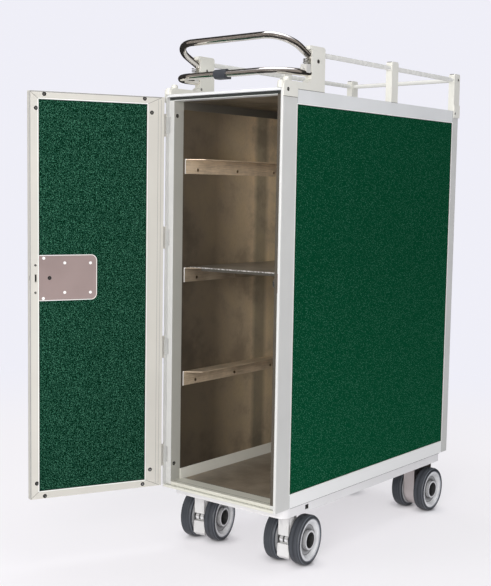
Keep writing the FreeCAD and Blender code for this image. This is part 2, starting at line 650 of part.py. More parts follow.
def door_hinge_profile():
    """Edge profile of the door with its four knuckles."""
    profile = block(DOOR_CAP_X, DOOR_FRAME_X, DOOR_OUTER, DOOR_INNER, DOOR_LOW, DOOR_HIGH)
    for height in HINGE_HEIGHTS:
        low = height - DOOR_KNUCKLE / 2
        barrel = rod(HINGE_X, HINGE_Y, low, Z_AXIS, KNUCKLE_RADIUS, DOOR_KNUCKLE)
        web = block(HINGE_X, DOOR_CAP_X, HINGE_Y - WEB_THICK / 2, HINGE_Y + WEB_THICK / 2,
                    low, low + DOOR_KNUCKLE)
        pin_hole = rod(HINGE_X, HINGE_Y, low, Z_AXIS, PIN_RADIUS + RUNNING_FIT, DOOR_KNUCKLE)
        profile = profile.fuse([barrel, web]).removeSplitter().cut(pin_hole)
    return profile


def door_opening():
    """Inner edges of the door frame: low x, high x, low z, high z."""
    return (DOOR_FRAME_X + HINGE_STILE, DOOR_FREE_X - FREE_STILE,
            DOOR_LOW + DOOR_RAIL, DOOR_HIGH - DOOR_RAIL)


def bolt_way(start):
    """The bolt's channel, from start to the free edge of the door."""
    half_thick = BOLT_THICK / 2 + BOLT_GAP
    half_high = BOLT_HEIGHT / 2 + BOLT_GAP
    return block(start, DOOR_FREE_X, BOLT_MIDDLE_Y - half_thick, BOLT_MIDDLE_Y + half_thick,
                 LATCH_HEIGHT - half_high, LATCH_HEIGHT + half_high)


def door_frame():
    """Two stiles and two rails, mitred at the corners."""
    x0, x1, z0, z1 = DOOR_FRAME_X, DOOR_FREE_X, DOOR_LOW, DOOR_HIGH
    left, right, low, high = door_opening()
    hinge_stile = prism_y([(x0, z0), (left, low), (left, high), (x0, z1)], DOOR_OUTER, DOOR_INNER)
    free_stile = prism_y([(x1, z0), (right, low), (right, high), (x1, z1)], DOOR_OUTER, DOOR_INNER)
    bottom = prism_y([(x0, z0), (x1, z0), (right, low), (left, low)], DOOR_OUTER, DOOR_INNER)
    top = prism_y([(x0, z1), (x1, z1), (right, high), (left, high)], DOOR_OUTER, DOOR_INNER)
    slot_x = x1 - VIEW_SLOT_FROM_EDGE
    view_slot = block(slot_x - VIEW_SLOT_WIDTH / 2, slot_x + VIEW_SLOT_WIDTH / 2, BOLT_MIDDLE_Y, DOOR_INNER,
                      LATCH_HEIGHT - VIEW_SLOT_HEIGHT / 2, LATCH_HEIGHT + VIEW_SLOT_HEIGHT / 2)
    free_stile = free_stile.cut(bolt_way(SPINDLE_X)).cut(view_slot)
    return [hinge_stile, free_stile, bottom, top]


def door_panel():
    """Laminate panel with the spindle hole, the cam's pocket and the bolt's channel."""
    left, right, low, high = door_opening()
    outer = DOOR_OUTER + DOOR_PANEL_OUTER_RECESS
    inner = DOOR_INNER - DOOR_PANEL_INNER_RECESS
    panel = block(left, right, outer, inner, low, high)
    panel = panel.cut(rod(SPINDLE_X, outer, LATCH_HEIGHT, Y_AXIS,
                          SPINDLE_RADIUS + RUNNING_FIT, inner - outer))
    cam_half = CAM_THICK / 2 + BOLT_GAP
    panel = panel.cut(rod(SPINDLE_X, BOLT_MIDDLE_Y - cam_half, LATCH_HEIGHT, Y_AXIS,
                          CAM_RADIUS + BOLT_GAP, 2 * cam_half))
    return panel.cut(bolt_way(SPINDLE_X))


def lock_plate():
    """Steel cover plate on the inner face, rounded at its hinge-side corners."""
    x0 = HINGE_X + PLATE_FROM_HINGE
    x1 = DOOR_FREE_X - FREE_STILE
    seat = DOOR_INNER - DOOR_PANEL_INNER_RECESS
    high = PLATE_LOW + PLATE_HEIGHT
    plate = block(x0, x1, seat, seat + PLATE_THICK, PLATE_LOW, high)

    def corner(edge):
        ends = [vertex.Point for vertex in edge.Vertexes]
        return near(ends[0].x, x0) and near(ends[1].x, x0) and near(ends[0].z, ends[1].z)
    plate = plate.makeFillet(PLATE_CORNER, [edge for edge in plate.Edges if corner(edge)])
    return plate.cut(rod(SPINDLE_X, seat, LATCH_HEIGHT, Y_AXIS, SPINDLE_RADIUS + RUNNING_FIT, PLATE_THICK))


def lock_rivets():
    face = DOOR_INNER - DOOR_PANEL_INNER_RECESS + PLATE_THICK
    return [rod(HINGE_X + PLATE_FROM_HINGE + across, face, PLATE_LOW + up, Y_AXIS, RIVET_RADIUS, SCREW_HEAD)
            for across, up in RIVETS]


def latch_bolt():
    tip = DOOR_FREE_X - BOLT_SHY
    return block(tip - BOLT_LENGTH, tip, BOLT_MIDDLE_Y - BOLT_THICK / 2, BOLT_MIDDLE_Y + BOLT_THICK / 2,
                 LATCH_HEIGHT - BOLT_HEIGHT / 2, LATCH_HEIGHT + BOLT_HEIGHT / 2)


def latch_spindle():
    """Spindle through the door, with the cam that drives the bolt."""
    start = DOOR_OUTER + DOOR_PANEL_OUTER_RECESS - KNOB_GAP
    end = DOOR_INNER - DOOR_PANEL_INNER_RECESS + PLATE_THICK
    spindle = rod(SPINDLE_X, start, LATCH_HEIGHT, Y_AXIS, SPINDLE_RADIUS, end - start)
    cam = rod(SPINDLE_X, BOLT_MIDDLE_Y - CAM_THICK / 2, LATCH_HEIGHT, Y_AXIS, CAM_RADIUS, CAM_THICK)
    return spindle.fuse(cam).removeSplitter()


def latch_handle():
    """Round knob with an upright wing, round at both ends, on the outer face of the door."""
    base = DOOR_OUTER + DOOR_PANEL_OUTER_RECESS - KNOB_GAP
    disc = rod(SPINDLE_X, base - KNOB_BASE, LATCH_HEIGHT, Y_AXIS, KNOB_RADIUS, KNOB_BASE)
    half, front = WING_WIDTH / 2, base - KNOB_BASE - WING_RISE
    reach = WING_LENGTH / 2 - half
    wing = block(SPINDLE_X - half, SPINDLE_X + half, front, base - KNOB_BASE,
                 LATCH_HEIGHT - reach, LATCH_HEIGHT + reach)
    ends = [rod(SPINDLE_X, front, LATCH_HEIGHT + up, Y_AXIS, half, WING_RISE) for up in (-reach, reach)]
    return disc.fuse([wing] + ends).removeSplitter()


def strike_blank():
    """The strike plate before its window is cut, let into the right lip."""
    lip_in = HALF - LIP_WIDTH
    return block(lip_in, lip_in + STRIKE_THICK, 0, REBATE_DEPTH,
                 LATCH_HEIGHT - STRIKE_HEIGHT / 2, LATCH_HEIGHT + STRIKE_HEIGHT / 2)


def strike_plate():
    return strike_blank().cut(moved(bolt_way(SPINDLE_X), LIP_WIDTH, 0, 0))


def swung(shape):
    """A door piece swung open about the hinge."""
    return turned(shape, HINGE_X, HINGE_Y, -DOOR_OPEN)


# ---------------------------------------------------------------- ledges and shelf
def ledge(top):
    """Right-hand angle ledge: flange on the wall, shelf on top, lead-in at the front."""
    start, end = LEDGE_START, REAR_INSIDE - LEDGE_END_GAP
    tip = INSIDE - LEDGE_WIDTH
    flange = block(INSIDE - LEDGE_SHEET, INSIDE, start, end, top - LEDGE_FLANGE, top)
    flat = prism_z([(INSIDE, start), (INSIDE, end), (tip, end), (tip, start + LEDGE_LEAD_IN),
                    (INSIDE - LEDGE_SHEET, start)], top - LEDGE_SHEET, top)
    return flange.fuse(flat).removeSplitter()


def ledges():
    return [ledge(top) for top in LEDGE_HEIGHTS]


def ledge_screws():
    """Screw heads on the flanges, both sides."""
    face = INSIDE - LEDGE_SHEET
    first = LEDGE_START + LEDGE_SCREW_FROM_START
    last = REAR_INSIDE - LEDGE_END_GAP - LEDGE_SCREW_FROM_END
    pitch = (last - first) / (LEDGE_SCREW_COUNT - 1)
    heads = []
    for top in LEDGE_HEIGHTS:
        for k in range(LEDGE_SCREW_COUNT):
            heads.append(rod(face - SCREW_HEAD, first + k * pitch, top - LEDGE_SCREW_DROP,
                             X_AXIS, SCREW_RADIUS, SCREW_HEAD))
    return heads + [mirrored(head) for head in heads]


def shelf():
    """Loose sheet shelf on the middle ledges, hemmed down in front between them."""
    level = LEDGE_HEIGHTS[SHELF_LEVEL]
    side = INSIDE - SHELF_SIDE_GAP
    hem_side = INSIDE - LEDGE_WIDTH - SHELF_SIDE_GAP
    sheet = block(-side, side, SHELF_START, REAR_INSIDE - SHELF_END_GAP, level, level + SHELF_SHEET)
    hem = block(-hem_side, hem_side, SHELF_START, SHELF_START + SHELF_SHEET, level - SHELF_HEM, level)
    return sheet.fuse(hem).removeSplitter()


# ---------------------------------------------------------------- top brackets and guard rail
def corner_cap(y0, y1):
    """Side of a casting that wraps a top corner of the cabinet frame."""
    return block(HALF, HALF + CORNER_PROUD, y0, y1, BODY_HEIGHT - CORNER_DROP, BODY_HEIGHT + CORNER_RISE)


def bow_slot():
    """Slot in the upright for the tongue of the upper bow."""
    half = TONGUE_THICK / 2 + TONGUE_SIDE_GAP
    return block(BOW_X - half, BOW_X + half, UPRIGHT_FRONT - NOSE_LENGTH, PIVOT_Y + SLOT_BEHIND_PIVOT,
                 PIVOT_Z - SLOT_BELOW, PIVOT_Z + SLOT_ABOVE)


def nose_bottom():
    """Underside of the stop nose, just over the resting upper bow."""
    reach = PIVOT_FROM_FACE + NOSE_LENGTH
    return PIVOT_Z + reach * tan(SLOPE) + BOW_RADIUS / cos(SLOPE) + NOSE_GAP


def round_head(radius, height, edge):
    """An upright cylinder on the origin with a chamfered top edge."""
    stem = rod(0, 0, 0, Z_AXIS, radius, height - edge)
    return stem.fuse(Part.makeCone(radius, radius - edge, edge, Vector(0, 0, height - edge)))


def bracket_front():
    """Front end of the right casting: rounded arm, corner cap, buffer and stop nub."""
    middle, top = HALF - BRACKET_THICK / 2, BODY_HEIGHT
    arm = block(HALF - BRACKET_THICK, HALF, 0, UPRIGHT_REAR, top, top + CORNER_RISE)
    arm = round_cross_edges(arm, [(0, top + CORNER_RISE)], ARM_ROUND)
    cap = round_cross_edges(corner_cap(0, CORNER_BLOCK), [(0, top + CORNER_RISE)], CORNER_ROUND)
    buffer = round_head(BUFFER_RADIUS, CORNER_RISE, BUFFER_ROUND)
    nub = round_head(NUB_RADIUS, NUB_RISE, NUB_ROUND)
    return arm.fuse([cap, moved(buffer, middle, BUFFER_RADIUS - BUFFER_PROUD, top),
                     moved(nub, middle, NUB_Y, top + CORNER_RISE)])


def corner_bracket():
    """Right front casting: corner block, arm along the top and upright for the bows."""
    inner, top = HALF - BRACKET_THICK, BODY_HEIGHT
    upright = block(inner, HALF, UPRIGHT_FRONT, UPRIGHT_REAR, top, UPRIGHT_TOP)
    upright = round_cross_edges(upright, [(UPRIGHT_REAR, UPRIGHT_TOP)], UPRIGHT_ROUND)
    nose = block(inner, HALF, UPRIGHT_FRONT - NOSE_LENGTH, UPRIGHT_FRONT, nose_bottom(), UPRIGHT_TOP)
    nose = round_cross_edges(nose, [(UPRIGHT_FRONT - NOSE_LENGTH, UPRIGHT_TOP)], UPRIGHT_ROUND)
    gusset = prism_x([(UPRIGHT_FRONT - GUSSET_LENGTH, top + CORNER_RISE), (UPRIGHT_FRONT, top + CORNER_RISE),
                      (UPRIGHT_FRONT, top + CORNER_RISE + GUSSET_HEIGHT)], inner, HALF)
    bracket = bracket_front().fuse([upright, nose, gusset]).removeSplitter()
    bracket = bracket.cut(bow_slot())
    bracket = bracket.cut(rod(inner, PIVOT_Y, PIVOT_Z, X_AXIS, PIVOT_RADIUS, BRACKET_THICK))
    bracket = bracket.cut(rod(BOW_X, UPRIGHT_FRONT, LOWER_BOW_Z, Y_AXIS, SPIGOT_RADIUS, SPIGOT_LENGTH))
    return bracket.cut(rod(RAIL_X, UPRIGHT_REAR - RAIL_SEAT, RAIL_Z, Y_AXIS, RAIL_RADIUS, RAIL_SEAT))


def middle_post():
    inner, top = HALF - BRACKET_THICK, BODY_HEIGHT + UPRIGHT_RISE
    y0, y1 = POST_MIDDLE_Y - POST_LENGTH / 2, POST_MIDDLE_Y + POST_LENGTH / 2
    post = block(inner, HALF, y0, y1, BODY_HEIGHT, top)
    post = round_cross_edges(post, [(y0, top), (y1, top)], POST_ROUND)
    return post.cut(rod(RAIL_X, y0, RAIL_Z, Y_AXIS, RAIL_RADIUS, POST_LENGTH))


def rear_rail_y():
    return REAR_POST_Y + RAIL_SEAT + RAIL_RADIUS + RAIL_FIT


def rear_guard_post():
    """Rear post that wraps the rear top corner of the frame."""
    inner, top = HALF - BRACKET_THICK, BODY_HEIGHT + UPRIGHT_RISE
    rear = BODY_DEPTH + CORNER_PROUD
    post = block(inner, HALF, REAR_POST_Y, rear, BODY_HEIGHT, top)
    post = round_cross_edges(post, [(REAR_POST_Y, top), (rear, top)], POST_ROUND)
    back = block(inner, HALF + CORNER_PROUD, BODY_DEPTH, rear, BODY_HEIGHT - CORNER_DROP, BODY_HEIGHT)
    post = post.fuse([corner_cap(REAR_POST_Y, rear), back]).removeSplitter()
    post = post.cut(rod(RAIL_X, REAR_POST_Y, RAIL_Z, Y_AXIS, RAIL_RADIUS, RAIL_SEAT))
    return post.cut(rod(inner, rear_rail_y(), RAIL_Z, X_AXIS, RAIL_RADIUS, RAIL_SEAT))


def guard_rails():
    start = UPRIGHT_REAR - RAIL_SEAT
    side = rod(RAIL_X, start, RAIL_Z, Y_AXIS, RAIL_RADIUS, REAR_POST_Y + RAIL_SEAT - start)
    reach = HALF - BRACKET_THICK + RAIL_SEAT
    rear = rod(-reach, rear_rail_y(), RAIL_Z, X_AXIS, RAIL_RADIUS, 2 * reach)
    return [side, mirrored(side), rear]


# ---------------------------------------------------------------- bows
def bow_tube(start, front, corner, height):
    """A U of round tube in a level plane: from start forward, across and back."""
    turn = corner * (1 - sqrt(0.5))
    straight = BOW_X - corner

    def point(x, y):
        return Vector(x, y, height)
    edges = [Part.makeLine(point(BOW_X, start), point(BOW_X, front + corner)),
             Part.Arc(point(BOW_X, front + corner), point(BOW_X - turn, front + turn),
                      point(straight, front)).toShape(),
             Part.makeLine(point(straight, front), point(-straight, front)),
             Part.Arc(point(-straight, front), point(-BOW_X + turn, front + turn),
                      point(-BOW_X, front + corner)).toShape(),
             Part.makeLine(point(-BOW_X, front + corner), point(-BOW_X, start))]
    section = Part.Wire(Part.makeCircle(BOW_RADIUS, point(BOW_X, start), Y_AXIS))
    return Part.Wire(edges).makePipeShell([section], True, False)


def lower_bow():
    """Fixed push bow, its ends stepped down into the uprights."""
    tube = bow_tube(UPRIGHT_FRONT, LOWER_BOW_FRONT, LOWER_BOW_CORNER, LOWER_BOW_Z)
    spigot = rod(BOW_X, UPRIGHT_FRONT, LOWER_BOW_Z, Y_AXIS, SPIGOT_RADIUS, SPIGOT_LENGTH)
    return tube.fuse([spigot, mirrored(spigot)]).removeSplitter()


def upper_bow():
    """Sprung bow: round tube with a flat tongue on a pivot at each end."""
    front = PIVOT_Y - (PIVOT_Y - UPPER_BOW_FRONT) / cos(SLOPE)
    tube = bow_tube(PIVOT_Y - TONGUE_START, front, UPPER_BOW_CORNER, PIVOT_Z)
    half = TONGUE_THICK / 2
    tongue = block(BOW_X - half, BOW_X + half, PIVOT_Y - TONGUE_START, PIVOT_Y,
                   PIVOT_Z - TONGUE_HEIGHT / 2, PIVOT_Z + TONGUE_HEIGHT / 2)
    eye = rod(BOW_X - half, PIVOT_Y, PIVOT_Z, X_AXIS, TONGUE_HEIGHT / 2, TONGUE_THICK)
    end = tongue.fuse(eye).removeSplitter()
    end = end.cut(rod(BOW_X - half, PIVOT_Y, PIVOT_Z, X_AXIS, PIVOT_RADIUS + RUNNING_FIT, TONGUE_THICK))
    bow = tube.fuse([end, mirrored(end)]).removeSplitter()
    bow.rotate(Vector(0, PIVOT_Y, PIVOT_Z), X_AXIS, -UPPER_BOW_SLOPE)
    return bow


def bow_pivot_pins():
    pin = rod(HALF - BRACKET_THICK, PIVOT_Y, PIVOT_Z, X_AXIS, PIVOT_RADIUS, BRACKET_THICK)
    head = rod(HALF, PIVOT_Y, PIVOT_Z, X_AXIS, PIVOT_RADIUS + SCREW_HEAD, SCREW_HEAD)
    right = pin.fuse(head).removeSplitter()
    return [right, mirrored(right)]


def spring_seats():
    """Block under each spring and a stop button, saddled on the lower bow."""
    half = SEAT_SIDE / 2
    seat = block(BOW_X - half, BOW_X + half, SEAT_Y - half, SEAT_Y + half, LOWER_BOW_Z, SEAT_TOP)
    button = rod(BOW_X, BUTTON_Y, LOWER_BOW_Z, Z_AXIS, BUTTON_RADIUS, BOW_RADIUS + BUTTON_RISE)
    start = BUTTON_Y - SEAT_SIDE
    bow = rod(BOW_X, start, LOWER_BOW_Z, Y_AXIS, BOW_RADIUS, UPRIGHT_FRONT - start)
    right = [seat.cut(bow), button.cut(bow)]
    return right + [mirrored(piece) for piece in right]


def biarc(start, along_start, end, along_end):
    """Two tangent arcs that join two points with given unit directions."""
    chord = end - start
    total = along_start + along_end
    a = 2 * (1 - along_start.dot(along_end))
    b = 2 * chord.dot(total)
    reach = (-b + sqrt(b * b + 4 * a * chord.dot(chord))) / (2 * a)
    joint = (start + end + (along_start - along_end) * reach) * 0.5
    arcs = []
    for first, last, corner in ((start, joint, start + along_start * reach),
                                (joint, end, end - along_end * reach)):
        half = (last - first).Length / 2
        weight = half / reach
        middle = (first + last + corner * (2 * weight)) * (1 / (2 + 2 * weight))
        arcs.append(Part.Arc(first, middle, last).toShape())
    return arcs


def polygon_section(centre, along, radius, sides):
    """A regular polygon square to the given direction."""
    across = along.cross(Z_AXIS).normalize()
    up = across.cross(along)
    corners = []
    for k in range(sides):
        angle = 2 * pi * k / sides
        corners.append(centre + across * (radius * cos(angle)) + up * (radius * sin(angle)))
    return Part.makePolygon(corners + corners[:1])


def spring_length(slope):
    """Room for the spring between its seat and the upper bow at the given slope."""
    reach = PIVOT_Y - SEAT_Y - SPRING_RADIUS - SPRING_WIRE
    return PIVOT_Z + reach * tan(slope) - BOW_RADIUS / cos(slope) - SPRING_HEAD_GAP - SEAT_TOP


def bow_spring():
    """Right-hand compression spring, with as many turns as still close when pressed."""
    pressed = spring_length(radians(UPPER_BOW_SLOPE - UPPER_BOW_TRAVEL))
    turns = int(pressed / (2 * SPRING_WIRE)) - 1
    slant = (spring_length(SLOPE) - 2 * SPRING_WIRE) / (2 * pi * turns)

    def place(angle):
        point = Vector(BOW_X + SPRING_RADIUS * cos(angle), SEAT_Y + SPRING_RADIUS * sin(angle),
                       SEAT_TOP + SPRING_WIRE + slant * angle)
        along = Vector(-SPRING_RADIUS * sin(angle), SPRING_RADIUS * cos(angle), slant)
        return point, along.normalize()
    edges = []
    for quarter in range(4 * turns):
        start, end = place(quarter * pi / 2), place((quarter + 1) * pi / 2)
        edges += biarc(start[0], start[1], end[0], end[1])
    section = polygon_section(*place(0), SPRING_WIRE, SPRING_SIDES)
    return Part.Wire(edges).makePipeShell([section], True, False)


def bow_clip():
    """Plastic clip snapped on the front run of the lower bow, open to the rear."""
    x0 = -CLIP_LEFT - CLIP_LENGTH / 2
    outer = BOW_RADIUS + CLIP_WALL
    sleeve = rod(x0, LOWER_BOW_FRONT, LOWER_BOW_Z, X_AXIS, outer, CLIP_LENGTH)
    tab = block(x0, x0 + CLIP_LENGTH, LOWER_BOW_FRONT, LOWER_BOW_FRONT + outer + CLIP_TAB / 2,
                LOWER_BOW_Z - outer, LOWER_BOW_Z - CLIP_MOUTH / 2)
    clip = sleeve.fuse(tab).removeSplitter()
    clip = clip.cut(rod(x0, LOWER_BOW_FRONT, LOWER_BOW_Z, X_AXIS, BOW_RADIUS, CLIP_LENGTH))
    return clip.cut(block(x0, x0 + CLIP_LENGTH, LOWER_BOW_FRONT, LOWER_BOW_FRONT + 2 * outer,
                          LOWER_BOW_Z - CLIP_MOUTH / 2, LOWER_BOW_Z + CLIP_MOUTH / 2))


# ---------------------------------------------------------------- the whole cart
def caster_parts():
    parts = {}
    for side, hand in ((-1, "left"), (1, "right")):
        parts["front_%s_caster_leg" % hand] = [on_swivel(caster_leg(), side)]
        parts["front_%s_axle" % hand] = [on_axle(wheel_axle(), side, True), on_swivel(lock_sleeve(), side)]
        for front, end in ((True, "front"), (False, "rear")):
            for face, place in ((-1, "left"), (1, "right")):
                wheel = "%s_%s_%s_wheel" % (end, hand, place)
                hub = wheel_hub() if face > 0 else mirrored(wheel_hub())
                tyre = wheel_tyre() if face > 0 else mirrored(wheel_tyre())
                parts[wheel + "_hub"] = [on_axle(hub, side, front)]
                parts[wheel + "_tyre"] = [on_axle(tyre, side, front)]
    housing = moved(rear_bracket(), CASTER_X, REAR_AXLE_Y, 0)
    parts["rear_caster_brackets"] = [housing, mirrored(housing)]
    parts["rear_axles"] = [on_axle(wheel_axle(), side, False) for side in (-1, 1)]
    return parts


def cabinet_parts():
    return {
        "left_front_post": [left_front_post()], "right_front_post": [right_front_post()],
        "rear_posts": [rear_post(), mirrored(rear_post())], "frame_rails": frame_rails(),
        "front_header": [front_header()], "front_sill": [front_sill()],
        "left_side_panel": [mirrored(side_panel())], "right_side_panel": [side_panel()],
        "rear_panel": [rear_panel()], "top_deck": [top_deck()], "floor_pan": [floor_pan()],
        "inner_liner": [inner_liner()], "chassis_tray": [chassis_tray()],
        "left_ledges": [mirrored(piece) for piece in ledges()], "right_ledges": ledges(),
        "ledge_screws": ledge_screws(), "shelf": [shelf()],
        "cabinet_knuckles": cabinet_knuckles(), "hinge_pins": hinge_pins(),
        "strike_plate": [strike_plate()],
    }


def top_parts():
    posts = [middle_post(), rear_guard_post()]
    spring = bow_spring()
    return {
        "right_corner_bracket": [corner_bracket()], "left_corner_bracket": [mirrored(corner_bracket())],
        "guard_posts": posts + [mirrored(post) for post in posts], "guard_rails": guard_rails(),
        "lower_bow": [lower_bow()], "upper_bow": [upper_bow()], "bow_pivot_pins": bow_pivot_pins(),
        "spring_seats": spring_seats(), "bow_springs": [spring, mirrored(spring)], "bow_clip": [bow_clip()],
    }


def door_parts():
    pieces = {
        "door_frame": door_frame(), "door_panel": [door_panel()],
        "door_hinge_profile": [door_hinge_profile()], "lock_plate": [lock_plate()],
        "lock_rivets": lock_rivets(), "latch_bolt": [latch_bolt()],
        "latch_spindle": [latch_spindle()], "latch_handle": [latch_handle()],
    }
    return {name: [swung(solid) for solid in solids] for name, solids in pieces.items()}


def build():
    """All sub-parts in the cabinet's frame, and the shift to the cart's own origin."""
    parts = {}
    for group in (cabinet_parts(), top_parts(), door_parts(), caster_parts()):
        parts.update(group)
    whole = Part.makeCompound([solid for solids in parts.values() for solid in solids])
    outline = whole.optimalBoundingBox(False)
    shift = Vector(-outline.Center.x, -outline.Center.y, RIDE_HEIGHT)
    return parts, shift


PARTS, SHIFT = build()
os.makedirs("parts", exist_ok=True)
for node, solids in PARTS.items():
    shape = Part.makeCompound(solids) if len(solids) > 1 else solids[0]
    shape.translate(SHIFT)
    shape.exportStep("parts/%s.step" % node)
print("%d sub-parts, origin shift %.3f %.3f %.3f mm" % (len(PARTS), SHIFT.x, SHIFT.y, SHIFT.z))
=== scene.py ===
"""Looks of an enclosed meal tray cart: an insulated cabinet on twin-wheel casters, door open.

Metres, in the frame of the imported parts. Places on the cabinet are given from its own corner:
x across from the middle, y from the front plane to the rear, z up from the cabinet's underside.
"""
import json
from math import cos, pi, radians, sin

import bmesh
import bpy
from mathutils import Matrix, Vector


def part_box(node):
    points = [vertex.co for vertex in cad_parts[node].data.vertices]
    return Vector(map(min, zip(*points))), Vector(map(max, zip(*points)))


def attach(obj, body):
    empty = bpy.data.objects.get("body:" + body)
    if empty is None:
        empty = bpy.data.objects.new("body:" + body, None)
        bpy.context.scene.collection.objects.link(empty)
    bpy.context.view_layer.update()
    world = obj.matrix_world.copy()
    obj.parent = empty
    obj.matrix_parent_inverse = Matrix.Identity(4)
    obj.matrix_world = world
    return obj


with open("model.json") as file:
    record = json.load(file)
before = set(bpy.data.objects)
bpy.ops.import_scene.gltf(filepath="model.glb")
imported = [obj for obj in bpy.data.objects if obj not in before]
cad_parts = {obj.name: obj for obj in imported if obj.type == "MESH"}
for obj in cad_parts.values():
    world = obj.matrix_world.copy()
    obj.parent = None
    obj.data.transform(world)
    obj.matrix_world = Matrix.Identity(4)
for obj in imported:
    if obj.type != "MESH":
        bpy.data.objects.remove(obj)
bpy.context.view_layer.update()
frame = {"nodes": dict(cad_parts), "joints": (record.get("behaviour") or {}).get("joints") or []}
NODES = frame["nodes"]
JOINTS = {joint["name"]: joint for joint in frame["joints"]}

# ---------------------------------------------------------------- places
LEFT_POST_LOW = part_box("left_front_post")[0]
RIGHT_POST_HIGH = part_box("right_front_post")[1]
CABINET = Vector(((LEFT_POST_LOW.x + RIGHT_POST_HIGH.x) / 2, LEFT_POST_LOW.y, LEFT_POST_LOW.z))
HALF_WIDTH = (RIGHT_POST_HIGH.x - LEFT_POST_LOW.x) / 2
BODY_HEIGHT = RIGHT_POST_HIGH.z - LEFT_POST_LOW.z
JAMB_X = 0.133                 # clear half width of the cabinet
LAND_Y = 0.008                 # land that the closed door meets
PANEL_X = HALF_WIDTH - 0.0015  # outer face of the side panels
POST_FACE, REAR_POST_FACE = 0.049, 0.696
RAIL_LOW, RAIL_HIGH = 0.029, BODY_HEIGHT - 0.029
FLANGE_REAR = REAR_POST_FACE - 0.008           # where the side rails' inner flanges end

HINGE = Vector((-0.1500, -0.0037, 0))
DOOR_OPEN = radians(114.4)
DOOR_FACE = 0.0107             # hinge axis to the inner face of the closed door
DOOR_TURN = Matrix.Rotation(-DOOR_OPEN, 4, "Z")
DOOR_NORMAL = DOOR_TURN @ Vector((0, 1, 0))
DOOR_START, DOOR_FREE = 0.0090, 0.2948         # across from the hinge axis
DOOR_LOW, DOOR_HIGH = 0.0062, BODY_HEIGHT - 0.0062
STILE_IN, FREE_STILE_IN = 0.0430, 0.2758
RAIL_IN_LOW, RAIL_IN_HIGH = 0.0220, BODY_HEIGHT - 0.0220
PANEL_RECESS = 0.0008          # the door's panel below its frame


def on_cabinet(x, y, z):
    return CABINET + Vector((x, y, z))


def on_door(across, z, proud=0.0):
    """A point on the door's inner face, across from the hinge axis."""
    return CABINET + HINGE + DOOR_TURN @ Vector((across, DOOR_FACE + proud, 0)) + Vector((0, 0, z))


def linked(name, data):
    """A new object in the scene."""
    thing = bpy.data.objects.new(name, data)
    bpy.context.scene.collection.objects.link(thing)
    return thing


# ---------------------------------------------------------------- camera
FOCAL_PIXELS = 1063.02
IMAGE_WIDTH, IMAGE_HEIGHT = 491, 586
AXIS_PIXEL = (190.1, 295.9)    # where the optical axis meets the picture
SENSOR = 36.0
CAMERA_PLACE = Vector((1.35766, -1.67420, 0.63232))
YAW, PITCH, ROLL = radians(40.591), radians(-5.527), radians(0.655)


def make_camera():
    ahead = Vector((-sin(YAW) * cos(PITCH), cos(YAW) * cos(PITCH), sin(PITCH)))
    level = Vector((cos(YAW), sin(YAW), 0))
    up = level.cross(ahead)
    right = level * cos(ROLL) + up * sin(ROLL)
    top = up * cos(ROLL) - level * sin(ROLL)
    data = bpy.data.cameras.new("camera")
    data.sensor_width = SENSOR
    data.lens = FOCAL_PIXELS * SENSOR / IMAGE_HEIGHT
    data.shift_x = (IMAGE_WIDTH / 2 - AXIS_PIXEL[0]) / IMAGE_HEIGHT
    data.shift_y = (AXIS_PIXEL[1] - IMAGE_HEIGHT / 2) / IMAGE_HEIGHT
    camera = linked("camera", data)
    axes = Matrix((right, top, -ahead)).transposed().to_4x4()
    camera.matrix_world = Matrix.Translation(CABINET + CAMERA_PLACE) @ axes
    bpy.context.scene.camera = camera


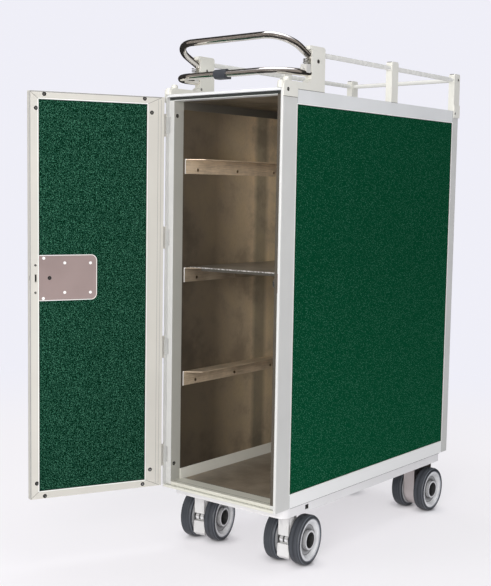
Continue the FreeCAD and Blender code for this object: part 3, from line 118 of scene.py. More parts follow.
# ---------------------------------------------------------------- material nodes
class Graph:
    """A material's nodes, with short calls for what the finishes share."""

    def __init__(self, name):
        self.material = bpy.data.materials.new(name)
        self.material.use_nodes = True
        self.nodes = self.material.node_tree.nodes
        self.links = self.material.node_tree.links
        self.shader = self.nodes["Principled BSDF"]

    def add(self, kind, **values):
        node = self.nodes.new("ShaderNode" + kind)
        for key, value in values.items():
            setattr(node, key, value)
        return node

    def join(self, output, socket):
        self.links.new(output, socket)

    def place(self, stretch=(1, 1, 1)):
        """Object coordinates, stretched along the axes."""
        mapping = self.add("Mapping")
        mapping.inputs["Scale"].default_value = stretch
        self.join(self.add("TexCoord").outputs["Object"], mapping.inputs["Vector"])
        return mapping.outputs["Vector"]

    def vector(self, operation, first, second):
        node = self.add("VectorMath", operation=operation)
        self.join(first, node.inputs[0])
        node.inputs[1].default_value = second
        return node

    def feed(self, socket, value):
        """Join an output to a socket, or set the socket to a number or a colour."""
        if isinstance(value, bpy.types.NodeSocket):
            self.join(value, socket)
        elif isinstance(value, (int, float)):
            socket.default_value = value
        else:
            socket.default_value = (*value, 1)

    def set(self, socket, value):
        """Set a constant of the shader."""
        self.feed(self.shader.inputs[socket], value)

    def math(self, operation, first, second):
        node = self.add("Math", operation=operation)
        self.feed(node.inputs[0], first)
        self.feed(node.inputs[1], second)
        return node.outputs[0]

    def length(self, vector):
        node = self.add("VectorMath", operation="LENGTH")
        self.join(vector, node.inputs[0])
        return node.outputs["Value"]

    def cabinet_place(self):
        """x, y and z from the cabinet's own corner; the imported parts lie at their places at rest."""
        node = self.add("SeparateXYZ")
        self.join(self.vector("SUBTRACT", self.place(), CABINET).outputs[0], node.inputs[0])
        return node.outputs

    def about(self, point, axis):
        """Distance from an axis through a point, and the place along that axis."""
        offset = self.vector("SUBTRACT", self.place(), point).outputs[0]
        across = self.vector("CROSS_PRODUCT", offset, axis).outputs[0]
        return self.length(across), self.vector("DOT_PRODUCT", offset, axis).outputs["Value"]

    def between_jambs(self, x):
        """1 as far out as the clear inside of the cabinet."""
        return self.math("LESS_THAN", self.math("ABSOLUTE", x, 0), JAMB_X + 0.0001)

    def faces_against(self, axis):
        """1 on the faces that look against an axis of the object."""
        face = self.add("SeparateXYZ")
        self.join(self.add("TexCoord").outputs["Normal"], face.inputs[0])
        return self.math("LESS_THAN", face.outputs[axis], -0.5)

    def noise(self, scale, detail=2.0, stretch=(1, 1, 1), rough=0.5):
        node = self.add("TexNoise")
        node.inputs["Scale"].default_value = scale
        node.inputs["Detail"].default_value = detail
        node.inputs["Roughness"].default_value = rough
        self.join(self.place(stretch), node.inputs["Vector"])
        return node.outputs["Fac"]

    def ramp(self, value, stops):
        """A colour ramp; each stop is a position and a colour or grey."""
        node = self.add("ValToRGB")
        elements = node.color_ramp.elements
        while len(elements) < len(stops):
            elements.new(0.5)
        for element, (position, colour) in zip(elements, stops):
            element.position = position
            if isinstance(colour, (int, float)):
                colour = (colour, colour, colour)
            element.color = (*colour, 1)
        self.join(value, node.inputs["Fac"])
        return node.outputs["Color"]

    def mix(self, share, first, second, blend="MIX"):
        """Two colours mixed; share and the colours are outputs or values."""
        node = self.add("Mix", data_type="RGBA", blend_type=blend)
        for index, value in ((0, share), (6, first), (7, second)):
            self.feed(node.inputs[index], value)
        return node.outputs[2]

    def times(self, first, second):
        """Two colours multiplied."""
        return self.mix(1.0, first, second, "MULTIPLY")

    def colour(self, output):
        self.join(output, self.shader.inputs["Base Color"])

    def rough(self, value, low, high):
        self.join(self.ramp(value, [(0.3, low), (0.7, high)]), self.shader.inputs["Roughness"])

    def bump(self, height, strength, distance):
        node = self.add("Bump")
        node.inputs["Strength"].default_value = strength
        node.inputs["Distance"].default_value = distance
        self.join(height, node.inputs["Height"])
        self.join(node.outputs["Normal"], self.shader.inputs["Normal"])

    def coat(self, low=0.32, high=0.42, peel=0.05):
        """Gloss and orange peel of coated metal."""
        self.rough(self.noise(60, 4), low, high)
        self.bump(self.noise(700, 2), peel, 0.0003)

    def moulded(self, low, high):
        """Gloss and fine pores of moulded plastic."""
        self.rough(self.noise(120, 3), low, high)
        self.bump(self.noise(1600, 2), 0.08, 0.0002)


def shaded(colour, factor):
    return tuple(channel * factor for channel in colour)


def from_shade(colour, factor, low=0.3):
    """Ramp stops from the shade of a colour to the colour itself."""
    return [(low, shaded(colour, factor)), (1 - low, colour)]


def painted(name, colour, low=0.32, high=0.42, peel=0.05, drift=0.05):
    """Smooth coated metal: faint cloudiness and orange peel."""
    graph = Graph(name)
    graph.colour(graph.ramp(graph.noise(9, 3), from_shade(colour, 1 - drift, 0.35)))
    graph.coat(low, high, peel)
    return graph.material


def post_paint(colour, inner, front):
    """Coated posts, with painted shade on the faces inside the opening and painted light on the fronts."""
    graph = Graph("post_paint")
    inside = graph.between_jambs(graph.cabinet_place()[0])
    clouds = graph.ramp(graph.noise(9, 3), [(0.35, 0.95), (0.65, 1.0)])
    # painted shade on the faces inside the opening, painted light on the front faces
    coat = graph.mix(graph.faces_against("Y"), graph.mix(inside, colour, inner), front)
    graph.colour(graph.times(coat, clouds))
    graph.coat()
    return graph.material


# painted light: a lighter white for the lower rails, for the light the floor throws up on them
LOW_RAIL_LIT_WHITE = (0.82, 0.82, 0.81)


def rail_paint(colour, inner_low, inner_high):
    """Coated rails, the lower ones lighter as painted light from the floor; the flanges inside the cabinet
    are pale below and dark above.
    """
    graph = Graph("rail_paint")
    x, y, z = graph.cabinet_place()
    inside = graph.math("MULTIPLY", graph.between_jambs(x), graph.math("LESS_THAN", y, FLANGE_REAR))
    upper = graph.math("GREATER_THAN", z, BODY_HEIGHT / 2)
    clouds = graph.noise(9, 3)
    # the lower rails in a lighter white as painted light
    coat = graph.mix(upper, LOW_RAIL_LIT_WHITE, graph.ramp(clouds, from_shade(colour, 0.95, 0.35)))
    flange = graph.mix(upper, graph.ramp(clouds, from_shade(inner_low, 0.92)),
                       graph.ramp(clouds, from_shade(inner_high, 0.8)))
    graph.colour(graph.mix(inside, coat, flange))
    graph.coat()
    return graph.material


def metal(name, colour, low, high, grain=(1, 1, 1), grain_scale=400, strength=0.06, shade=0.82):
    """Bare metal, with a grain that the stretch draws out along one axis."""
    graph = Graph(name)
    lines = graph.noise(grain_scale, 3, grain)
    smears = graph.noise(14, 3)
    graph.colour(graph.mix(0.35, graph.ramp(smears, from_shade(colour, shade)),
                           graph.ramp(lines, from_shade(colour, shade, 0.25))))
    graph.set("Metallic", 1.0)
    graph.rough(graph.mix(0.5, lines, smears), low, high)
    graph.bump(lines, strength, 0.0002)
    return graph.material


def plastic(name, colour, low=0.4, high=0.55):
    graph = Graph(name)
    graph.colour(graph.ramp(graph.noise(40, 3), from_shade(colour, 0.88)))
    graph.moulded(low, high)
    return graph.material


GREEN_SIDE = ((0.0016, 0.0440, 0.0170), (0.0026, 0.0560, 0.0225), (0.0060, 0.0780, 0.0350))
GREEN_DOOR = ((0.0000, 0.0110, 0.0050), (0.0010, 0.0330, 0.0155), (0.0850, 0.2500, 0.1600))
FLECK = (0.09, 0.26, 0.18)


def green_laminate(name, tones, scale, stops, cells, reach, low, high):
    """Deep green laminate with a fine grain and scattered light flecks; low and high are its level."""
    graph = Graph(name)
    grain = graph.noise(scale, 1, rough=0.6)
    tone = graph.ramp(grain, list(zip(stops, tones)))
    spots = graph.add("TexVoronoi")
    spots.inputs["Scale"].default_value = cells
    graph.join(graph.place(), spots.inputs["Vector"])
    pick = graph.add("SeparateColor")
    graph.join(spots.outputs["Color"], pick.inputs[0])
    near = graph.ramp(spots.outputs["Distance"], [(reach * 0.6, 1), (reach, 0)])
    fleck = graph.math("MULTIPLY", near, pick.outputs[0])
    height = graph.math("DIVIDE", graph.cabinet_place()[2], BODY_HEIGHT)
    drift = graph.ramp(height, [(0.05, low), (0.6, high)])
    graph.colour(graph.times(graph.mix(fleck, tone, FLECK), drift))
    graph.rough(grain, 0.50, 0.65)
    graph.bump(grain, 0.4, 0.0004)
    graph.set("Specular IOR Level", 0.0)
    return graph.material


def stained_steel(name, dark, light, metallic, low, high, stretch, patches):
    """Worn brushed sheet: broad brown stains, a drawn grain and small specks."""
    graph = Graph(name)
    stain = graph.noise(patches, 6, rough=0.6)
    grain = graph.noise(420, 3, stretch)
    speck = graph.noise(220, 4, rough=0.7)
    tone = graph.ramp(graph.mix(0.3, stain, grain), [(0.36, dark), (0.62, light)])
    wear_and_highlight = graph.ramp(speck, [(0.58, 0), (0.72, 0.45)])
    graph.colour(graph.mix(wear_and_highlight, tone, shaded(dark, 0.55)))
    graph.set("Metallic", metallic)
    graph.rough(graph.mix(0.5, grain, stain), low, high)
    graph.bump(grain, 0.08, 0.0002)
    return graph.material


# painted light and shade along the depth: dark near the door, a tan painted sheen deeper in
LINER_FRONT, LINER_REAR = 0.03, 0.43
LINER_TONES = [(0.00, (0.140, 0.113, 0.082)), (0.30, (0.225, 0.180, 0.128)), (0.55, (0.66, 0.53, 0.37)),
               (0.64, (0.90, 0.72, 0.50)), (0.68, (0.50, 0.43, 0.31)), (0.75, (0.52, 0.44, 0.32)),
               (0.79, (0.98, 0.80, 0.56)), (1.00, (0.95, 0.78, 0.55))]
STAIN_TONES = [(0.38, (0.62, 0.62, 0.62)), (0.50, (0.90, 0.89, 0.87)), (0.62, (1.0, 0.98, 0.90))]


def liner_steel():
    """Worn sheet lining with stains; along the depth, painted shade near the door and a tan painted sheen
    deeper in, with a duller upright band; darker towards the bottom.
    """
    graph = Graph("liner_steel")
    _, y, z = graph.cabinet_place()
    depth = graph.math("DIVIDE", graph.math("SUBTRACT", y, LINER_FRONT), LINER_REAR - LINER_FRONT)
    tone = graph.ramp(depth, LINER_TONES)
    # darker towards the bottom
    height = graph.ramp(graph.math("DIVIDE", z, BODY_HEIGHT), [(0.05, 0.60), (0.45, 0.80), (0.9, 1.0)])
    stain = graph.ramp(graph.noise(7, 6, rough=0.65), STAIN_TONES)
    grain = graph.noise(500, 3, (1, 1, 0.25))
    fine = graph.ramp(grain, [(0.3, 0.90), (0.7, 1.0)])
    sheet = graph.times(graph.times(tone, height), graph.times(stain, fine))
    wear_and_highlight = graph.ramp(graph.noise(200, 4, rough=0.7), [(0.60, 0), (0.74, 0.5)])
    graph.colour(graph.mix(wear_and_highlight, sheet, (0.06, 0.05, 0.04)))
    graph.set("Metallic", 0.25)
    graph.rough(grain, 0.34, 0.48)
    graph.bump(grain, 0.06, 0.0002)
    return graph.material


# painted shade by height: the middle ledge, under the shelf, much darker, the lowest a little darker than the
# top one
LEDGE_SHADE_BY_HEIGHT = [(0.30, 0.85), (0.50, 0.45), (0.58, 0.45), (0.78, 1.0)]


def edged_sheet(name, dark, light, edge, edge_y, edge_z=None):
    """Folded sheet with a painted highlight on its cut front edge; where only its top edge shows, that edge
    is speckled with the highlight and the rest of the front is darker.
    """
    graph = Graph(name)
    _, y, z = graph.cabinet_place()
    stain = graph.noise(16, 5, rough=0.6)
    grain = graph.noise(420, 3, (1, 0.06, 1))
    tone = graph.ramp(graph.mix(0.35, stain, grain), [(0.38, dark), (0.60, light)])
    # the cut front edge, which gets a painted highlight
    wear_and_highlight = graph.math("LESS_THAN", y, edge_y)
    if edge_z is None:
        # painted shade by height on the ledges
        height = graph.ramp(graph.math("DIVIDE", z, BODY_HEIGHT), LEDGE_SHADE_BY_HEIGHT)
        tone = graph.times(tone, height)
    else:
        # on the shelf the front is darker, with a speckled painted highlight along its top edge
        speckle = graph.ramp(graph.noise(330, 2), [(0.42, 0.15), (0.58, 1.0)])
        top = graph.math("MULTIPLY", wear_and_highlight, graph.math("GREATER_THAN", z, edge_z))
        tone = graph.mix(wear_and_highlight, tone, shaded(dark, 0.4))
        wear_and_highlight = graph.math("MULTIPLY", top, speckle)
    # the cut front edge in its painted highlight colour
    graph.colour(graph.mix(wear_and_highlight, tone, edge))
    graph.set("Metallic", 0.25)
    graph.rough(graph.mix(0.5, grain, stain), 0.28, 0.42)
    graph.bump(grain, 0.08, 0.0002)
    return graph.material


def deck():
    """Coated sheet above, and the stained steel ceiling on its underside."""
    graph = Graph("deck_sheet")
    stain = graph.ramp(graph.noise(12, 6, rough=0.65),
                       [(0.36, (0.09, 0.078, 0.050)), (0.62, (0.25, 0.205, 0.145))])
    coat = graph.ramp(graph.noise(9, 3), [(0.35, (0.57, 0.57, 0.55)), (0.65, (0.60, 0.60, 0.58))])
    graph.colour(graph.mix(graph.faces_against("Z"), coat, stain))
    graph.rough(graph.noise(60, 4), 0.4, 0.5)
    return graph.material


WHEEL_RADIUS = 0.052
# radii in millimetres and greys; the dark bore and the dark steps at the corners of the dished ring are
# painted shade
HUB_TONES_AND_SHADE = [(0, 0.015), (16.7, 0.045), (17.0, 0.62), (19.0, 0.78), (20.3, 0.60), (20.8, 0.05), (23.5, 0.16),
             (28.5, 0.36), (30.6, 0.34), (31.4, 0.09), (32.6, 0.70), (42.6, 0.78), (43.6, 0.34)]
# the pale line at 50.6 mm, on the shoulder, is a painted highlight
TYRE_TONES_AND_HIGHLIGHT = [(43.0, 0.30), (44.6, 0.24), (45.8, 0.060), (50.0, 0.075), (50.6, 0.20), (51.3, 0.035),
              (51.7, 0.085), (52.0, 0.085)]


def by_radius(graph, joint, tones):
    """Rings about a wheel's axle; the tones' radii are in millimetres."""
    radius, along = graph.about(joint["pos_m"], joint["axis"])
    share = graph.math("DIVIDE", radius, WHEEL_RADIUS)
    return graph.ramp(share, [(mm / 1000 / WHEEL_RADIUS, tone) for mm, tone in tones]), along


def wheel_hub(name, joint):
    """Grey moulded hub: pale rim and boss, painted shade in the corners of the dished ring and in the dark
    bore, and patchy dirt.
    """
    graph = Graph(name)
    rings, _ = by_radius(graph, joint, HUB_TONES_AND_SHADE)
    dirt = graph.ramp(graph.noise(60, 5, rough=0.65), [(0.35, (0.80, 0.80, 0.81)), (0.6, (0.98, 0.985, 1.0))])
    graph.colour(graph.times(rings, dirt))
    graph.moulded(0.32, 0.46)
    return graph.material


def tyre_rubber(name, joint):
    """Dark blue-grey rubber: a pale painted highlight on the shoulder, and scuffs drawn out along the tread.
    """
    graph = Graph(name)
    rings, along = by_radius(graph, joint, TYRE_TONES_AND_HIGHLIGHT)
    scuff = graph.add("TexNoise", noise_dimensions="1D")
    scuff.inputs["Scale"].default_value = 190
    graph.join(along, scuff.inputs["W"])
    lines = graph.ramp(scuff.outputs["Fac"], [(0.35, (0.34, 0.37, 0.44)), (0.65, (0.80, 0.87, 1.0))])
    tread = graph.times(rings, lines)
    dust = graph.ramp(graph.noise(140, 5, rough=0.7), [(0.55, 0), (0.8, 0.2)])
    graph.colour(graph.mix(dust, tread, (0.13, 0.13, 0.145)))
    graph.rough(graph.noise(90, 3), 0.34, 0.52)
    graph.set("Specular IOR Level", 0.22)
    graph.bump(graph.noise(900, 3), 0.12, 0.0003)
    return graph.material


SLEEVE_TONES = [(0.00, 0.02), (0.12, 0.03), (0.17, 0.80), (0.40, 0.92), (0.45, 0.10), (0.55, 0.06),
                (0.60, 0.95), (0.84, 0.75), (0.89, 0.03)]


def axle_steel(name, joint, sleeve):
    """Bright between the cheeks of the leg, and in painted shade at the nuts in the wheels' bores."""
    graph = Graph(name)
    _, along = graph.about(joint["pos_m"], joint["axis"])
    outside = graph.math("GREATER_THAN", graph.math("ABSOLUTE", along, 0), sleeve)
    share = graph.math("DIVIDE", graph.math("ADD", along, sleeve), 2 * sleeve)
    tone = graph.ramp(share, SLEEVE_TONES)
    # painted shade at the nuts deep in the wheels' bores
    bore_shade = graph.ramp(graph.noise(90, 4), [(0.3, (0.030, 0.025, 0.023)), (0.7, (0.075, 0.064, 0.060))])
    graph.colour(graph.mix(outside, tone, bore_shade))
    graph.set("Metallic", 0.6)
    graph.rough(graph.noise(150, 3), 0.10, 0.22)
    return graph.material


WARM_WHITE = (0.72, 0.71, 0.65)
POST_WHITE = (0.58, 0.58, 0.56)
RAIL_WHITE = (0.70, 0.71, 0.71)
SILL_WHITE = (0.66, 0.65, 0.57)
CREAM = (0.60, 0.58, 0.525)
LEDGE_EDGE_Y = 0.0452                          # just behind the cut front edges
SHELF_EDGE_Y, SHELF_EDGE_Z = 0.0616, 0.4722

MATERIALS = {
    # post coat, then the inner faces in painted shade and the fronts in painted light
    "post_paint": post_paint(POST_WHITE, (0.43, 0.425, 0.38), (0.62, 0.62, 0.60)),
    "rail_paint": rail_paint(RAIL_WHITE, (0.78, 0.77, 0.70), (0.13, 0.12, 0.10)),
    "header_paint": painted("header_paint", RAIL_WHITE),
    "sill_paint": painted("sill_paint", SILL_WHITE),
    "door_paint": painted("door_paint", CREAM),
    "casting": painted("casting", WARM_WHITE, 0.28, 0.38),
    "tray_paint": painted("tray_paint", (0.78, 0.77, 0.77), 0.4, 0.5),
    # painted highlight for lit edges
    "edge_highlight": painted("edge_highlight", (0.84, 0.86, 0.82), 0.25, 0.35),
    "deck_sheet": deck(),
    "green_side": green_laminate("green_side", GREEN_SIDE, 500, (0.35, 0.52, 0.70), 330, 0.34, 1.0, 0.80),
    "green_door": green_laminate("green_door", GREEN_DOOR, 680, (0.42, 0.53, 0.68), 230, 0.24, 0.76, 0.80),
    "liner_steel": liner_steel(),
    "floor_steel": stained_steel("floor_steel", (0.20, 0.165, 0.12), (0.36, 0.30, 0.23), 0.25, 0.34, 0.48,
                                 (1, 0.06, 1), 16),
    # the third colour is the painted highlight on the cut front edge
    "ledge_steel": edged_sheet("ledge_steel", (0.50, 0.395, 0.28), (0.84, 0.68, 0.49), (0.92, 0.90, 0.86),
                               LEDGE_EDGE_Y),
    "shelf_steel": edged_sheet("shelf_steel", (0.20, 0.18, 0.15), (0.36, 0.32, 0.27), (0.62, 0.60, 0.57),
                               SHELF_EDGE_Y, SHELF_EDGE_Z),
    "housing_steel": metal("housing_steel", (0.60, 0.55, 0.54), 0.30, 0.42, (1, 1, 0.05), 400, 0.08),
    "plate_steel": painted("plate_steel", (0.31, 0.238, 0.224), 0.30, 0.42, 0.06, 0.12),
    "fastener": metal("fastener", (0.50, 0.50, 0.49), 0.26, 0.38),
    "dark_steel": metal("dark_steel", (0.20, 0.19, 0.18), 0.30, 0.45),
    "screw_steel": metal("screw_steel", (0.72, 0.70, 0.66), 0.16, 0.28),
    "satin_rail": painted("satin_rail", (0.74, 0.735, 0.70), 0.22, 0.30, 0.02),
    # white as a painted highlight on the domed lock rivets
    "rivet_highlight_white": painted("rivet_highlight_white", (0.93, 0.92, 0.90), 0.18, 0.25, 0.02),
    "polished_steel": metal("polished_steel", (0.92, 0.88, 0.84), 0.05, 0.09, strength=0.01, shade=0.95),
    "bright_steel": metal("bright_steel", (0.74, 0.74, 0.74), 0.08, 0.16, strength=0.02),
    "dark_plastic": plastic("dark_plastic", (0.045, 0.050, 0.060)),
    "seat_plastic": plastic("seat_plastic", (0.60, 0.59, 0.56)),
    "leg_paint": painted("leg_paint", (0.70, 0.69, 0.68), 0.28, 0.38, 0.12, 0.10),
    # painted shade on the header's land under its lip, then a dark strip for the lock side's land
    "painted_land_shade": plastic("painted_land_shade", (0.030, 0.034, 0.031), 0.5, 0.65),
    "dark_land_strip": plastic("dark_land_strip", (0.085, 0.072, 0.055), 0.5, 0.65),
    "edge_shade": plastic("edge_shade", (0.30, 0.30, 0.29)),
    "joint_line": plastic("joint_line", (0.10, 0.095, 0.085), 0.6, 0.8),
    # black for the spindle and the tray's seam, and painted shade in gaps and slots and in the rings about
    # rivet heads
    "black_and_painted_shade": plastic("black_and_painted_shade", (0.012, 0.012, 0.012), 0.6, 0.8),
}

NODE_FINISH = {
    "post_paint": ("left_front_post", "right_front_post", "rear_posts"),
    "rail_paint": ("frame_rails",),
    "header_paint": ("front_header",),
    "sill_paint": ("front_sill",),
    "door_paint": ("door_frame", "door_hinge_profile", "cabinet_knuckles"),
    "casting": ("left_corner_bracket", "right_corner_bracket", "guard_posts"),
    "leg_paint": ("front_left_caster_leg", "front_right_caster_leg"),
    "deck_sheet": ("top_deck",),
    "tray_paint": ("chassis_tray",),
    "green_side": ("left_side_panel", "right_side_panel", "rear_panel"),
    "green_door": ("door_panel",),
    "liner_steel": ("inner_liner",),
    "floor_steel": ("floor_pan",),
    "housing_steel": ("rear_caster_brackets",),
    "ledge_steel": ("left_ledges", "right_ledges"),
    "shelf_steel": ("shelf",),
    "plate_steel": ("lock_plate", "strike_plate"),
    "fastener": ("hinge_pins",),
    "screw_steel": ("ledge_screws",),
    "rivet_highlight_white": ("lock_rivets",),
    "dark_steel": ("latch_bolt", "bow_pivot_pins"),
    "satin_rail": ("guard_rails",),
    "polished_steel": ("lower_bow", "upper_bow"),
    "bright_steel": ("bow_springs",),
    "dark_plastic": ("bow_clip", "latch_handle"),
    "black_and_painted_shade": ("latch_spindle",),
    "seat_plastic": ("spring_seats",),
}
SHARP = radians(32)
FRONT_SLEEVE, REAR_SLEEVE = 0.0136, 0.001      # half the bright length of an axle


def soften(mesh, angle=SHARP):
    """Smooth shading, with creases kept where faces meet at more than the angle."""
    mesh.polygons.foreach_set("use_smooth", [True] * len(mesh.polygons))
    mesh.set_sharp_from_angle(angle=angle)


def dress(name, material):
    mesh = NODES[name].data
    mesh.materials.clear()
    mesh.materials.append(material)
    soften(mesh)


def dress_nodes():
    for finish, names in NODE_FINISH.items():
        for name in names:
            dress(name, MATERIALS[finish])


def dress_wheels():
    for name in NODES:
        if name.endswith("wheel_hub"):
            dress(name, wheel_hub(name + "_grey", JOINTS[name.replace("hub", "spin")]))
        elif name.endswith("wheel_tyre"):
            dress(name, tyre_rubber(name + "_rubber", JOINTS[name.replace("tyre", "spin")]))
    for corner in ("front_left", "front_right"):
        joint = JOINTS[corner + "_right_wheel_spin"]
        dress(corner + "_axle", axle_steel(corner + "_axle_steel", joint, FRONT_SLEEVE))
    dress("rear_axles", axle_steel("rear_axle_steel", JOINTS["rear_left_right_wheel_spin"], REAR_SLEEVE))


# ---------------------------------------------------------------- small pieces
SIDES = ((-1, "left"), (1, "right"))
FRONT, UP = Vector((0, -1, 0)), Vector((0, 0, 1))


def ride_piece(name, mesh, body, finishes, matrix=None):
    """Link a mesh in its finishes, and let it ride on a body."""
    for finish in finishes:
        mesh.materials.append(MATERIALS[finish])
    piece = linked(name, mesh)
    if matrix is not None:
        piece.matrix_world = matrix
    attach(piece, body)


def mesh_from(name, form):
    mesh = bpy.data.meshes.new(name)
    form.to_mesh(mesh)
    form.free()
    return mesh


def close_prism(form, first, second):
    """Walls between two rings of points, and a cap on each."""
    for k in range(len(first)):
        after = (k + 1) % len(first)
        form.faces.new((first[k], first[after], second[after], second[k]))
    form.faces.new(list(reversed(first)))
    form.faces.new(second)


RIVET_SIDES = 24
RIVET_SHARP = radians(50)
# share of the radius, height, and finish of the band below; finish 1 is the black ring of painted shade about
# the head
RIVET_OUTLINE = ((1.25, 0.0, 0), (1.25, 0.00012, 1), (1.05, 0.0004, 1), (0.80, 0.00075, 1),
                 (0.62, 0.00085, 1), (0.52, 0.00105, 0), (0.20, 0.0012, 0), (0, 0.00115, 0))
DOOR_RIVET_RISE = 0.38         # flat heads: the closed door comes within 1 mm of its land


def turned_mesh(name, outline):
    """Turn an outline of (radius, height, finish) about Z; the finish is that of the band below it."""
    form = bmesh.new()
    turns = [2 * pi * k / RIVET_SIDES for k in range(RIVET_SIDES)]
    rings = []
    for radius, height, _ in outline:
        if radius == 0:
            rings.append([form.verts.new((0, 0, height))])
        else:
            rings.append([form.verts.new((radius * cos(turn), radius * sin(turn), height)) for turn in turns])
    for lower, upper, (_, _, finish) in zip(rings, rings[1:], outline[1:]):
        for k in range(RIVET_SIDES):
            after = (k + 1) % RIVET_SIDES
            over = (upper[0],) if len(upper) == 1 else (upper[after], upper[k])
            form.faces.new((lower[k], lower[after], *over)).material_index = finish
    form.faces.new(list(reversed(rings[0])))
    mesh = mesh_from(name, form)
    soften(mesh, RIVET_SHARP)
    return mesh


def rivet(name, place, facing, body, radius=0.0034, rise=1.0):
    """Blind rivet: a small bright head in a black ring of painted shade."""
    outline = [(radius * share, height * rise, finish) for share, height, finish in RIVET_OUTLINE]
    turn = facing.to_track_quat("Z", "Y").to_matrix().to_4x4()
    ride_piece(name, turned_mesh(name, outline), body, ("fastener", "black_and_painted_shade"),
               Matrix.Translation(place) @ turn)


BEAD_SIDES = 4


def bead(name, runs, facing, width, height, finish, body="root"):
    """Low rounded strips along straight runs of a surface; each run is a pair of points."""
    form = bmesh.new()
    turns = [pi * k / BEAD_SIDES for k in range(BEAD_SIDES + 1)]
    for start, end in runs:
        side = facing.cross((end - start).normalized())
        rings = [[form.verts.new(point + side * (width / 2 * cos(turn)) + facing * (height * sin(turn)))
                  for turn in turns] for point in (start, end)]
        close_prism(form, *rings)
    bmesh.ops.recalc_face_normals(form, faces=form.faces)
    ride_piece(name, mesh_from(name, form), body, (finish,))


def path_runs(points):
    return list(zip(points, points[1:]))


def around(place, low_a, high_a, low_z, high_z, grow):
    """The sides of an upright rectangle, grown outward; place gives a point from its two coordinates."""
    low_a, high_a, low_z, high_z = low_a - grow, high_a + grow, low_z - grow, high_z + grow
    corners = [place(low_a, low_z), place(high_a, low_z), place(high_a, high_z), place(low_a, high_z)]
    return path_runs(corners + corners[:1])


DOOR_RIVETS = ((0.264, 0.824), (0.049, 0.825), (0.281, 0.796), (0.033, 0.797), (0.281, 0.039),
               (0.264, 0.011), (0.048, 0.013), (0.031, 0.043))
LOCK_SCREW_ACROSS = 0.283
LOCK_SCREWS = (("high", 0.485), ("low", 0.430))


def door_rivets():
    for index, (across, z) in enumerate(DOOR_RIVETS):
        rivet("door_rivet_%d" % (index + 1), on_door(across, z), DOOR_NORMAL, "door", rise=DOOR_RIVET_RISE)
    for name, z in LOCK_SCREWS:
        rivet("lock_screw_" + name, on_door(LOCK_SCREW_ACROSS, z), DOOR_NORMAL, "door", 0.0018,
              DOOR_RIVET_RISE)


JAMB_RIVET_Y = 0.018
JAMB_RIVETS = ((0.050, "low"), (0.793, "high"))


def jamb_rivets():
    for side, hand in SIDES:
        for z, place in JAMB_RIVETS:
            rivet("%s_jamb_rivet_%s" % (hand, place), on_cabinet(side * JAMB_X, JAMB_RIVET_Y, z),
                  Vector((-side, 0, 0)), "root")


CASTING_FACE = 0.153
CASTING_SCREWS = (("corner", 0.014, 0.833, 0.0030), ("rear_high", 0.716, 0.910, 0.0020),
                  ("rear_low", 0.705, 0.830, 0.0020))


def casting_screws():
    """Countersunk screws of the corner castings and of the rear guard posts."""
    for side, hand in SIDES:
        for name, y, z, radius in CASTING_SCREWS:
            rivet("%s_%s_screw" % (hand, name), on_cabinet(side * CASTING_FACE, y, z),
                  Vector((side, 0, 0)), "root", radius)
    rivet("left_foot_screw", on_cabinet(-0.136, 0.099, 0.854), Vector((1, 0, 0)), "root", 0.0022)


ARRIS_WIDTH, RIM_INSET, GAP_INSET = 0.0018, 0.0012, 0.0005
MITRE_STOP = 0.001             # the mitres' lines end this far inside the door's edges
FOLDS_ACROSS, FOLD_STOP = (0.0118, 0.0184), 0.012


def door_lines():
    """Mitres, shaded rim, a painted highlight along the frame's edge about the panel, and painted shade in
    the gap inside it.
    """
    window = (STILE_IN, FREE_STILE_IN, RAIL_IN_LOW, RAIL_IN_HIGH)
    bead("door_rim", around(on_door, DOOR_START, DOOR_FREE, DOOR_LOW, DOOR_HIGH, -RIM_INSET)[1:3],
         DOOR_NORMAL, ARRIS_WIDTH, 0.0002, "edge_shade", "door")
    # painted highlight along the frame's inner edge
    bead("door_edge_highlight", around(on_door, *window, ARRIS_WIDTH / 2),
         DOOR_NORMAL, ARRIS_WIDTH, 0.0002, "edge_highlight", "door")
    # painted shade in the gap about the panel
    bead("door_panel_shade_line", around(lambda a, z: on_door(a, z, -PANEL_RECESS), *window, -GAP_INSET),
         DOOR_NORMAL, 0.0012, 0.0003, "black_and_painted_shade", "door")
    stiles = ((STILE_IN, DOOR_START + MITRE_STOP), (FREE_STILE_IN, DOOR_FREE - MITRE_STOP))
    rails = ((RAIL_IN_LOW, DOOR_LOW + MITRE_STOP), (RAIL_IN_HIGH, DOOR_HIGH - MITRE_STOP))
    mitres = [(on_door(inner, inner_z), on_door(outer, outer_z))
              for inner, outer in stiles for inner_z, outer_z in rails]
    bead("door_mitres", mitres, DOOR_NORMAL, 0.0006, 0.00015, "joint_line", "door")
    folds = [(on_door(across, FOLD_STOP), on_door(across, BODY_HEIGHT - FOLD_STOP))
             for across in FOLDS_ACROSS]
    bead("hinge_stile_folds", folds, DOOR_NORMAL, 0.0007, 0.00015, "edge_shade", "door")


LOCK_PLATE, LOCK_CORNER = (0.1535, 0.2752, 0.4135, 0.5045), 0.0115
BOLT_SLOT_ACROSS, BOLT_SLOT_LOW, BOLT_SLOT_HIGH, BOLT_SLOT_DEPTH = 0.2823, 0.4520, 0.4660, 0.0012
SPINDLE_ACROSS, SPINDLE_Z = 0.254, 0.459
SPINDLE_SLOTS = ((0.0020, 0.0022), (0.0020, -0.0022))


def over_door(node):
    """How far a node stands over the door's inner face."""
    face = on_door(0, 0)
    return max((vertex.co - face).dot(DOOR_NORMAL) for vertex in NODES[node].data.vertices)


